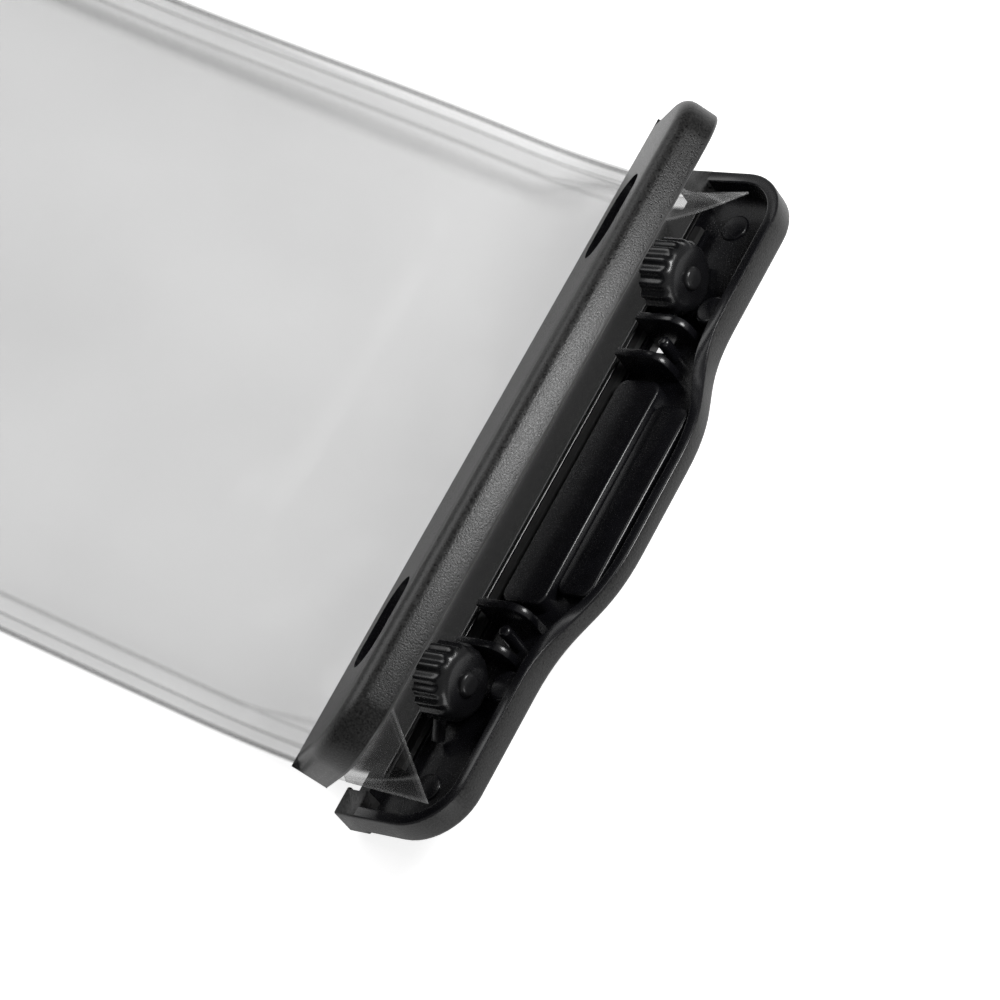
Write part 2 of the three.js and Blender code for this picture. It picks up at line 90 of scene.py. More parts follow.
class Slot(Enum):
    """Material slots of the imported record."""

    FILM = "film"
    SHELL = "clip_shell"
    SEAL = "seal"
    KNOB = "lock_knob"
    PIN = "lock_pin"


# Shader expressions


class Sock:
    """A shader socket that Python's operators work on."""

    def __init__(self, net: "Net", link: object) -> None:
        """Wraps a link.

        Args:
            net: The material's nodes that new nodes are added to.
            link: An output socket.
        """
        self.net = net
        self.link = link

    def _math(self, kind: str, *values: object) -> "Sock":
        """Adds one Math node."""
        return self.net.add("ShaderNodeMath", {"operation": kind}, dict(enumerate(values)))

    def __add__(self, other: object) -> "Sock":
        """Sum."""
        return self._math("ADD", self, other)

    def __radd__(self, other: object) -> "Sock":
        """Sum with a number on the left."""
        return self._math("ADD", other, self)

    def __sub__(self, other: object) -> "Sock":
        """Difference."""
        return self._math("SUBTRACT", self, other)

    def __rsub__(self, other: object) -> "Sock":
        """Difference from a number on the left."""
        return self._math("SUBTRACT", other, self)

    def __mul__(self, other: object) -> "Sock":
        """Product."""
        return self._math("MULTIPLY", self, other)

    def __truediv__(self, other: object) -> "Sock":
        """Quotient."""
        return self._math("DIVIDE", self, other)

    def clamp(self) -> "Sock":
        """Limited to 0 to 1."""
        return self.net.add("ShaderNodeClamp", {}, {0: self})

    def absolute(self) -> "Sock":
        """Without its sign."""
        return self._math("ABSOLUTE", self)

    def line_at(self, place: float, half: float) -> "Sock":
        """A soft line where the value equals place.

        Args:
            place: The value at the middle of the line.
            half: Half the line's width, in the value's units.

        Returns:
            1 in the middle and 0 outside.
        """
        return (1 - (self - place).absolute() / half).clamp()


class Net:
    """One material and its nodes."""

    def __init__(self, name: str) -> None:
        """Makes an empty material with a Principled BSDF.

        Args:
            name: The material's name.
        """
        self.material = bpy.data.materials.new(name)
        self.material.use_nodes = True
        self.tree = self.material.node_tree
        self.tree.nodes.clear()
        self.shader = self.tree.nodes.new("ShaderNodeBsdfPrincipled")
        output = self.tree.nodes.new("ShaderNodeOutputMaterial")
        self.tree.links.new(self.shader.outputs[0], output.inputs["Surface"])

    def add(
        self, kind: str, settings: dict[str, object], values: dict[object, object], out: object = 0
    ) -> Sock:
        """Adds a node.

        Args:
            kind: The node's type.
            settings: Attributes set before the sockets are filled.
            values: Numbers, colours or sockets by input name or index.
            out: The output to return, by name or index.

        Returns:
            The chosen output, wrapped.
        """
        node = self.tree.nodes.new(kind)
        for key, value in settings.items():
            setattr(node, key, value)
        for key, value in values.items():
            if isinstance(value, Sock):
                self.tree.links.new(value.link, node.inputs[key])
            else:
                node.inputs[key].default_value = value
        return Sock(self, node.outputs[out])

    def place(self, turn: float, centre: Sequence[float]) -> Sock:
        """Object coordinates in millimetres, turned about X into a jaw's own frame.

        Args:
            turn: The jaw's tilt in radians.
            centre: The frame's zero point, in metres.

        Returns:
            The vector socket.
        """
        raw = self.add("ShaderNodeTexCoord", {}, {}, "Object")
        moved = self.add("ShaderNodeVectorMath", {"operation": "SUBTRACT"}, {0: raw, 1: tuple(centre)})
        about = {"rotation_type": "X_AXIS"}
        turned = self.add("ShaderNodeVectorRotate", about, {"Vector": moved, "Angle": -turn})
        return self.add("ShaderNodeVectorMath", {"operation": "SCALE"}, {0: turned, "Scale": 1 / MM})

    def axis(self, vector: Sock, name: str) -> Sock:
        """One coordinate of a vector socket."""
        return self.add("ShaderNodeSeparateXYZ", {}, {0: vector}, name)

    def noise(self, vector: Sock, scale: float, detail: float = 2.0, rough: float = 0.5) -> Sock:
        """Noise from 0 to 1 over a vector in millimetres."""
        values = {"Vector": vector, "Scale": scale, "Detail": detail, "Roughness": rough}
        return self.add("ShaderNodeTexNoise", {}, values)

    def ramp(self, factor: Sock, stops: Sequence[tuple[float, Sequence[float]]]) -> Sock:
        """A colour ramp between two colours.

        Args:
            factor: Where on the ramp.
            stops: Two positions with their RGB colours.

        Returns:
            The colour socket.
        """
        node = self.tree.nodes.new("ShaderNodeValToRGB")
        bar = node.color_ramp.elements
        for stop, (place, colour) in zip(bar, stops):
            stop.position = place
            stop.color = (*colour, 1.0)
        self.tree.links.new(factor.link, node.inputs[0])
        return Sock(self, node.outputs[0])

    def bump(self, height: Sock, strength: float, distance: float) -> None:
        """Feeds a height into the shader's normal.

        Args:
            height: The height socket.
            strength: From 0 to 1.
            distance: The real height in metres of a change from 0 to 1.
        """
        made = self.add("ShaderNodeBump", {}, {"Height": height, "Strength": strength, "Distance": distance})
        self.feed("Normal", made)

    def feed(self, name: str, value: object) -> None:
        """Sets or links one input of the shader."""
        if isinstance(value, Sock):
            self.tree.links.new(value.link, self.shader.inputs[name])
        else:
            self.shader.inputs[name].default_value = value


@dataclass(frozen=True)
class Grained:
    """Charcoal plastic with a fine spark-eroded grain."""

    name: str
    tint: Colour = (1.0, 0.985, 0.975)
    tone: float = 0.011
    fleck: float = 0.085
    cloud: float = 0.012
    cloud_scale: float = 0.12
    roughness: float = 0.35
    roughness_spread: float = 0.5
    grain_scale: float = 3.5
    grain_strength: float = 0.9
    grain_height: float = 0.00005

    def make(self, turn: float, centre: Sequence[float]) -> bpy.types.Material:
        """Builds the material in a jaw's frame.

        Args:
            turn: The jaw's tilt in radians.
            centre: The fold line's middle, in metres.

        Returns:
            The material.
        """
        net = Net(self.name)
        where = net.place(turn, centre)
        grain = net.noise(where, self.grain_scale, 3.0, 0.6)
        cloud = net.noise(where, self.cloud_scale)
        light = (grain - 0.5) * self.fleck + (cloud - 0.5) * self.cloud + self.tone
        net.feed("Base Color", net.ramp(light, [(0.0, BLACK), (1.0, self.tint)]))
        net.feed("Roughness", (self.roughness + (grain - 0.5) * self.roughness_spread).clamp())
        net.bump(grain, self.grain_strength, self.grain_height)
        return net.material


@dataclass(frozen=True)
class Polished:
    """Smooth dark moulding with faint flow marks."""

    name: str
    tone: Colour = (0.006, 0.006, 0.0075)
    roughness: float = 0.26
    coat: float = 0.1
    coat_roughness: float = 0.12
    darkest: float = 0.75
    lightest: float = 1.5
    flow_scale: float = 0.35
    flow_strength: float = 0.6
    flow_height: float = 0.00002
    dust_scale: float = 6.0
    dust_share: float = 0.2
    dust_roughness: float = 0.12

    def make(self, turn: float, centre: Sequence[float]) -> bpy.types.Material:
        """Builds the material in a jaw's frame.

        Args:
            turn: The jaw's tilt in radians.
            centre: The fold line's middle, in metres.

        Returns:
            The material.
        """
        net = Net(self.name)
        where = net.place(turn, centre)
        flow = net.noise(where, self.flow_scale)
        dust = net.noise(where, self.dust_scale)
        tint = (flow * (1 - self.dust_share) + dust * self.dust_share).clamp()
        low = tuple(c * self.darkest for c in self.tone)
        high = tuple(c * self.lightest for c in self.tone)
        net.feed("Base Color", net.ramp(tint, [(0.3, low), (0.75, high)]))
        net.feed("Roughness", (self.roughness + (dust - 0.5) * self.dust_roughness).clamp())
        net.feed("Coat Weight", self.coat)
        net.feed("Coat Roughness", self.coat_roughness)
        net.bump(flow, self.flow_strength, self.flow_height)
        return net.material


@dataclass(frozen=True)
class Rubbery:
    """Satin dark seal strip with a soft bloom."""

    name: str
    tone: float = 0.03
    roughness: float = 0.36
    specular: float = 0.6
    bloom_scale: float = 0.5
    bloom_tone: float = 0.02
    bloom_roughness: float = 0.2
    fine_scale: float = 5.0
    fine_strength: float = 0.4
    fine_height: float = 0.00001

    def make(self, turn: float, centre: Sequence[float]) -> bpy.types.Material:
        """Builds the material in a jaw's frame.

        Args:
            turn: The jaw's tilt in radians.
            centre: The fold line's middle, in metres.

        Returns:
            The material.
        """
        net = Net(self.name)
        where = net.place(turn, centre)
        bloom = net.noise(where, self.bloom_scale, 3.0)
        fine = net.noise(where, self.fine_scale)
        light = self.tone + (bloom - 0.5) * self.bloom_tone
        net.feed("Base Color", net.ramp(light, [(0.0, BLACK), (1.0, WHITE)]))
        net.feed("Roughness", (self.roughness + (bloom - 0.5) * self.bloom_roughness).clamp())
        net.feed("Specular IOR Level", self.specular)
        net.bump(fine, self.fine_strength, self.fine_height)
        return net.material


@dataclass(frozen=True)
class ClearFilm:
    """Soft clear film, slightly smoky, denser along its welds and where it is seen at a slant.

    Attributes:
        seam_lines: Distance from the bag's side, half width and strength of each line of the weld.
        band_half: Half the length of the opaque band between the jaws, whose colour is a painted highlight by
            the fold that fades into painted shade, or 0 where there is none.
        band_start: Where the band starts, from the fold line towards the clip.
        band_fade: Where the band's painted highlight starts to fade into painted shade, and over what
            distance.
    """

    name: str
    half_width: float
    tone: float = 0.11
    cover: float = 0.125
    slant_cover: float = 0.42
    roughness: float = 0.2
    specular: float = 0.9
    weld_tone: float = 0.4
    weld_cover: float = 0.3
    weld_end: float = 4.0
    seam_lines: tuple[tuple[float, float, float], ...] = ((0.4, 0.4, 1.0), (2.4, 0.3, 0.55), (5.0, 0.5, 0.35))
    haze_scale: float = 0.03
    haze_tone: float = 0.06
    haze_cover: float = 0.05
    haze_strength: float = 0.3
    haze_height: float = 0.0004
    band_half: float = 0.0
    band_start: float = 0.4
    band_lead: float = 1.0
    band_side: float = 0.8
    band_fade: Span = (1.8, 4.2)
    band_painted_highlight: float = 0.34
    band_painted_shade: float = 0.004

    def make(self, fold_y: float) -> bpy.types.Material:
        """Builds the material.

        Args:
            fold_y: The fold line's place along Y, in metres.

        Returns:
            The material.
        """
        net = Net(self.name)
        where = net.place(0.0, (0.0, fold_y, 0.0))
        side = net.axis(where, "X").absolute()
        along = net.axis(where, "Y")
        haze = net.noise(where, self.haze_scale, 2.0, 0.4)
        edge = self.half_width
        lines = sum(side.line_at(edge - inset, half) * part for inset, half, part in self.seam_lines)
        before_fold = (1 - along / self.weld_end).clamp()
        worked = net.add("ShaderNodeAttribute", {"attribute_name": WELD}, {}, "Fac")
        seams = (lines * before_fold + worked).clamp()
        light = self.tone + seams * self.weld_tone + (haze - 0.5) * self.haze_tone
        slant = net.add("ShaderNodeLayerWeight", {}, {"Blend": 0.5}, "Facing")
        steep = slant * slant * slant
        cover = self.cover + seams * self.weld_cover + steep * self.slant_cover
        cover = cover + (haze - 0.5) * self.haze_cover
        # Painted light: across the band the film turns opaque, with a painted highlight next to the fold that
        # fades into painted shade towards the clip.
        if self.band_half:
            started = ((along - self.band_start) / self.band_lead).clamp()
            inside = started * ((self.band_half - side) / self.band_side).clamp()
            fade_start, fade_length = self.band_fade
            fade = (1 - (along - fade_start) / fade_length).clamp()
            # The band's tone: painted highlight near the fold, painted shade beyond it.
            dark = fade * fade * self.band_painted_highlight + self.band_painted_shade
            light = light * (1 - inside) + dark * inside
            cover = cover * (1 - inside) + inside
        net.feed("Base Color", net.ramp(light.clamp(), [(0.0, BLACK), (1.0, WHITE)]))
        net.feed("Alpha", cover.clamp())
        net.feed("Roughness", self.roughness)
        net.feed("Specular IOR Level", self.specular)
        net.bump(haze, self.haze_strength, self.haze_height)
        return net.material


# Mesh work


@dataclass
class Solid:
    """A closed form worked with bmesh operators, in millimetres."""

    bm: bmesh.types.BMesh = field(default_factory=bmesh.new)

    def outline(self, corners: Sequence[tuple[float, float]], level: float) -> "Solid":
        """Starts from a flat face.

        Args:
            corners: The corners in plan.
            level: The face's height.

        Returns:
            The same form.
        """
        verts = [self.bm.verts.new((x, y, level)) for x, y in corners]
        self.bm.faces.new(verts)
        return self

    def bevel(self, picked: Sequence[object], radius: float, segments: int, kind: str) -> "Solid":
        """Rounds the picked corners or edges; kind is VERTICES or EDGES."""
        bmesh.ops.bevel(
            self.bm, geom=picked, offset=radius, offset_type="OFFSET", segments=segments,
            profile=0.5, affect=kind, material=-1, clamp_overlap=True,
        )
        return self

    def round_corners(self, near: Callable[[Vector], bool], radius: float, segments: int) -> "Solid":
        """Rounds plan corners.

        Args:
            near: Says which corners.
            radius: Distance the rounding takes along each side.
            segments: Steps of the rounding.

        Returns:
            The same form.
        """
        return self.bevel([v for v in self.bm.verts if near(v.co)], radius, segments, "VERTICES")

    def raise_face(self, depth: float) -> "Solid":
        """Turns the flat face into a closed slab.

        Args:
            depth: Height of the slab, upwards.

        Returns:
            The same form.
        """
        made = bmesh.ops.extrude_face_region(self.bm, geom=list(self.bm.faces))
        tops = [g for g in made["geom"] if isinstance(g, bmesh.types.BMVert)]
        bmesh.ops.translate(self.bm, verts=tops, vec=(0, 0, depth))
        bmesh.ops.recalc_face_normals(self.bm, faces=self.bm.faces)
        return self

    def hollow(self, level: float, wall: float, depth: float) -> "Solid":
        """Sinks the face at a level, leaving a wall round it, and gives the hollow the inside finish.

        Args:
            level: Height of the face.
            wall: Thickness of the wall that is left.
            depth: How far the face sinks, signed.

        Returns:
            The same form.
        """
        cap = max(
            (f for f in self.bm.faces if all(abs(v.co.z - level) < 1e-4 for v in f.verts)),
            key=lambda f: f.calc_area(),
        )
        bmesh.ops.inset_region(self.bm, faces=[cap], thickness=wall, use_even_offset=True)
        before = set(self.bm.faces) - {cap}
        made = bmesh.ops.extrude_face_region(self.bm, geom=[cap])
        bmesh.ops.delete(self.bm, geom=[cap], context="FACES")
        lowered = [g for g in made["geom"] if isinstance(g, bmesh.types.BMVert)]
        bmesh.ops.translate(self.bm, verts=lowered, vec=(0, 0, depth))
        for face in self.bm.faces:
            if face not in before:
                face.material_index = INSIDE
        return self

    def paint_inside(self) -> "Solid":
        """Gives every face the inside finish."""
        for face in self.bm.faces:
            face.material_index = INSIDE
        return self

    def soften(self, pick: Callable[[Edge], bool], radius: float, segments: int) -> "Solid":
        """Rounds edges.

        Args:
            pick: Says which edges.
            radius: The rounding's offset.
            segments: Steps of the rounding.

        Returns:
            The same form.
        """
        return self.bevel([e for e in self.bm.edges if pick(e)], radius, segments, "EDGES")

    def soften_sharp(self, radius: float, segments: int = 2, least: float = 40.0) -> "Solid":
        """Rounds every edge sharper than an angle."""
        limit = math.radians(least)
        return self.soften(lambda e: e.is_manifold and e.calc_face_angle(0.0) > limit, radius, segments)

    def move(self, rule: Callable[[Vector], Vector]) -> "Solid":
        """Moves every vertex by a rule from its old place to its new one."""
        for vert in self.bm.verts:
            vert.co = rule(vert.co)
        return self

    def set_along_x(self, start: float) -> "Solid":
        """Turns a form that is drawn in (Y, Z) and raised along the third axis, so that it runs along X."""
        upright = Matrix(((0, 0, 1, start), (1, 0, 0, 0), (0, 1, 0, 0), (0, 0, 0, 1)))
        bmesh.ops.transform(self.bm, matrix=upright, verts=self.bm.verts)
        return self

    def finish(self, name: str, to_row: Matrix = Matrix.Identity(4)) -> bpy.types.Object:
        """Makes the object, with its place in its mesh.

        Args:
            name: The object's name.
            to_row: Matrix from the working frame in millimetres to the row frame in metres.

        Returns:
            The new object.
        """
        bmesh.ops.remove_doubles(self.bm, verts=self.bm.verts, dist=1e-4)
        bmesh.ops.recalc_face_normals(self.bm, faces=self.bm.faces)
        bmesh.ops.transform(self.bm, matrix=to_row, verts=self.bm.verts)
        mesh = bpy.data.meshes.new(name)
        self.bm.to_mesh(mesh)
        self.bm.free()
        mesh.shade_smooth()
        made = bpy.data.objects.new(name, mesh)
        bpy.context.scene.collection.objects.link(made)
        return made


def edges_at(level: float, axis: int = 2, least: float = 0.5) -> Callable[[Edge], bool]:
    """Picks the sharp edges that lie at a level.

    Args:
        level: The level along the axis.
        axis: 0, 1 or 2 for X, Y or Z.
        least: The smallest angle between an edge's faces, in radians.

    Returns:
        The test of an edge.
    """
    return lambda e: all(abs(v.co[axis] - level) < NEAR for v in e.verts) and e.calc_face_angle(0.0) > least


def slab(corners: Sequence[Span], low: float, high: float, soft: float) -> Solid:
    """A raised outline with softened edges.

    Args:
        corners: Plan corners.
        low: Underside.
        high: Top.
        soft: Edge radius.

    Returns:
        The form.
    """
    form = Solid().outline(corners, low).raise_face(high - low)
    return form.soften_sharp(soft) if soft else form


def brick(x: Span, y: Span, z: Span, soft: float = 0.2) -> Solid:
    """A softened rectangular form between two limits on each axis."""
    return slab([(x[0], y[0]), (x[1], y[0]), (x[1], y[1]), (x[0], y[1])], z[0], z[1], soft)


def bar(centre: Vector, radius: float, length: float, segments: int = 32) -> Solid:
    """A round bar along Y.

    Args:
        centre: Middle of the end nearest the fold line.
        radius: Its radius.
        length: Its length.
        segments: Sides.

    Returns:
        The form.
    """
    form = Solid()
    turn = Matrix.Rotation(-math.pi / 2, 4, "X")
    shift = Matrix.Translation(centre + Vector((0, length / 2, 0)))
    bmesh.ops.create_cone(
        form.bm, cap_ends=True, segments=segments, radius1=radius, radius2=radius, depth=length,
        matrix=shift @ turn,
    )
    return form


def post(centre: Vector, radius: float, height: float, segments: int = 24) -> Solid:
    """A round post along Z that stands at a point."""
    form = Solid()
    shift = Matrix.Translation(centre + Vector((0, 0, height / 2)))
    bmesh.ops.create_cone(
        form.bm, cap_ends=True, segments=segments, radius1=radius, radius2=radius, depth=height, matrix=shift
    )
    return form


def fuse(base: bpy.types.Object, adds: Iterable[Solid], cuts: Iterable[Solid], to_row: Matrix) -> None:
    """Joins forms to a base and cuts others out of it, in millimetres, then moves it to the row frame.

    Args:
        base: The object that is changed.
        adds: Forms joined to it.
        cuts: Forms cut out of it.
        to_row: Matrix from the working frame to the row frame.
    """
    tools = [(form.finish("added"), "UNION") for form in adds]
    tools += [(form.finish("cutter"), "DIFFERENCE") for form in cuts]
    for tool, kind in tools:
        step = base.modifiers.new("join", "BOOLEAN")
        step.object = tool
        step.operation = kind
        step.solver = "EXACT"
        step.material_mode = "TRANSFER"
    graph = bpy.context.evaluated_depsgraph_get()
    result = bpy.data.meshes.new_from_object(base.evaluated_get(graph), depsgraph=graph)
    base.modifiers.clear()
    result.transform(to_row)
    base.data = result
    for tool, _ in tools:
        bpy.data.objects.remove(tool)


def smooth_by_angle(obj: bpy.types.Object, degrees: float = 32.0) -> None:
    """Shades smooth up to an angle and keeps sharper edges sharp."""
    obj.data.shade_smooth()
    work = bmesh.new()
    work.from_mesh(obj.data)
    for edge in work.edges:
        edge.smooth = edge.calc_face_angle(0.0) < math.radians(degrees)
    work.to_mesh(obj.data)
    work.free()


def ease(value: float) -> float:
    """Smooth step from 0 to 1."""
    limited = min(max(value, 0.0), 1.0)
    return limited * limited * (3 - 2 * limited)


def eased(value: float, ramp: Span) -> float:
    """Smooth step that starts at the ramp's first number and takes the second to reach 1."""
    start, reach = ramp
    return ease((value - start) / reach)


@dataclass(frozen=True)
class Clip:
    """Sizes that both jaws share, in millimetres in a jaw's own frame."""

    half: float = 55.6
    edge: float = 8.0
    width: float = 17.4
    mate: float = -4.8
    corner: float = 8.5
    bag_corner: float = 1.2
    wall: float = 1.8
    skin: float = 1.4
    rim_gap: float = 0.2
    bag_rim: float = 0.95
    pad_x: float = 3.9
    front_depth: float = 5.9
    rear_depth: float = 4.7
    rear_tilt: float = math.radians(32)
    front_tilt: float = math.radians(68)
    lock_x: float = 34.5
    knob_w: float = 14.5
    knob_h: float = -2.3
    seal_half: float = 46.5
    seat_depth: float = 2.7
    seat_lead: float = 1.0
    seat_soft: float = 0.15

    @property
    def free(self) -> float:
        """The straight free edge."""
        return self.edge + self.width

    def bag_edge(self, edge: Edge) -> bool:
        """Whether an edge is one of the outer upright ones on the bag's side."""
        return all(abs(v.co.x) > self.half - 0.01 and v.co.y < self.edge + 0.01 for v in edge.verts)

    def corners(self) -> list[Span]:
        """Plan corners of a jaw without its roundings."""
        near, far = self.edge, self.free
        return [(-self.half, near), (self.half, near), (self.half, far), (-self.half, far)]

    def mouth(self, low: float, high: float) -> Solid:
        """The form cut out of a jaw's bag-side wall, between its corner blocks, so that the film can pass."""
        half = self.half - self.pad_x
        return brick((-half, half), (self.edge - PASS, self.edge + self.wall + 0.1), (low, high), 0)

    def seat(self, end: float, low: float, high: float) -> Solid:
        """The block that a jaw's seal lies on, which ends at a place across the jaw."""
        half = self.seal_half
        return brick((-half, half), (self.edge + self.seat_lead, end), (low, high), self.seat_soft)


CLIP = Clip()


@dataclass
class Stand:
    """Where the jaws stand in the row frame."""

    fold: Vector

    def jaw(self, tilt: float) -> Matrix:
        """Matrix from a jaw's frame in millimetres to the row frame in metres."""
        return Matrix.Translation(self.fold) @ Matrix.Rotation(tilt, 4, "X") @ Matrix.Scale(MM, 4)

    def flat(self) -> Matrix:
        """Matrix from millimetres, with Y from the fold line and Z from the table, to the row frame."""
        return Matrix.Translation((0, self.fold.y, 0)) @ Matrix.Scale(MM, 4)


def settle(
    obj: bpy.types.Object, body: Body, slot_name: Slot, mats: Sequence[bpy.types.Material], *nodes: str
) -> None:
    """Gives a piece its finish, its body and the nodes that it stands for.

    Args:
        obj: The piece.
        body: The body it rides on.
        slot_name: The record's slot; not used.
        mats: Materials by slot index.
        *nodes: CAD nodes that it replaces.
    """
    while len(obj.data.materials) < len(mats):
        obj.data.materials.append(None)
    for index, material in enumerate(mats):
        obj.data.materials[index] = material
    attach(obj, body.value)
    if nodes:
        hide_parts(*nodes)
    LOG.info("%s rides on %s", obj.name, body.value)


def follow(obj: bpy.types.Object, film: bpy.types.Material, start: Vector, end: Vector) -> None:
    """Gives a piece of film its finish and bakes its place into its mesh.

    Args:
        obj: The piece.
        film: Its finish.
        start: Where it starts to follow the front jaw, in metres; not used.
        end: Where it follows the front jaw wholly; not used.
    """
    obj.data.materials.append(film)
    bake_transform(obj)
    LOG.info("%s bends from %s to %s", obj.name, Body.POUCH.value, Body.FRONT.value)


@dataclass
class FrontJaw:
    """The upper jaw: a shallow lid with a window for each lock."""

    stand: Stand
    fillet: float = 2.1
    rim_soft: float = 0.45
    bag_corner: float = 2.4
    window_length: float = 14.4
    window_width: float = 8.2
    window_lead: float = 2.5
    seat_end: float = 12.5
    rib_x: tuple[float, ...] = (-19.0, 0.0, 19.0)
    rib_half: float = 0.6
    rib_start: float = 12.2
    rib_rise: float = 1.2

    def build(self) -> bpy.types.Object:
        """Builds the lid.

        Returns:
            The finished object.
        """
        outer = CLIP.mate + CLIP.front_depth
        rim = CLIP.mate + CLIP.rim_gap
        to_row = self.stand.jaw(CLIP.front_tilt)
        shell = Solid().outline(CLIP.corners(), rim)
        shell.round_corners(lambda c: c.y > CLIP.free - 0.1, CLIP.corner, 12)
        shell.raise_face(outer - rim)
        shell.hollow(rim, CLIP.wall, CLIP.front_depth - CLIP.skin - CLIP.rim_gap)
        shell.soften(CLIP.bag_edge, self.bag_corner, 6)
        shell.soften(edges_at(outer), self.fillet, 5)
        shell.soften(edges_at(rim), self.rim_soft, 3)
        body = shell.finish("front_jaw_lid")
        # The rim's rounding faces get the lighter bead finish, a painted highlight along the rim.
        for face in body.data.polygons:
            if abs(face.center.z - rim) < self.rim_soft and face.normal.z < -0.1:
                face.material_index = BEAD_PAINTED_HIGHLIGHT
        inner = outer - CLIP.skin
        cuts = [CLIP.mouth(rim - PASS, CLIP.mate + CLIP.bag_rim)]
        for side in (-1, 1):
            cuts.append(self.window(side, inner - PASS, outer + PASS).paint_inside())
        root = inner + SINK
        adds = [CLIP.seat(self.seat_end, CLIP.mate + CLIP.seat_depth, root)]
        for x in self.rib_x:
            along = (x - self.rib_half, x + self.rib_half)
            across = (self.rib_start, CLIP.free - CLIP.wall + SINK)
            adds.append(brick(along, across, (inner - self.rib_rise, root), 0.15))
        fuse(body, adds, cuts, to_row)
        smooth_by_angle(body)
        return body

    def window(self, side: int, low: float, high: float) -> Solid:
        """The cutter of one lock window, a slot with round ends."""
        x = side * CLIP.lock_x
        left, right = x - self.window_length / 2, x + self.window_length / 2
        reach = self.window_width / 2
        near, far = CLIP.knob_w + self.window_lead - reach, CLIP.knob_w + self.window_lead + reach
        form = Solid().outline([(left, near), (right, near), (right, far), (left, far)], low)
        form.round_corners(lambda c: True, reach * 0.999, 10)
        return form.raise_face(high - low)


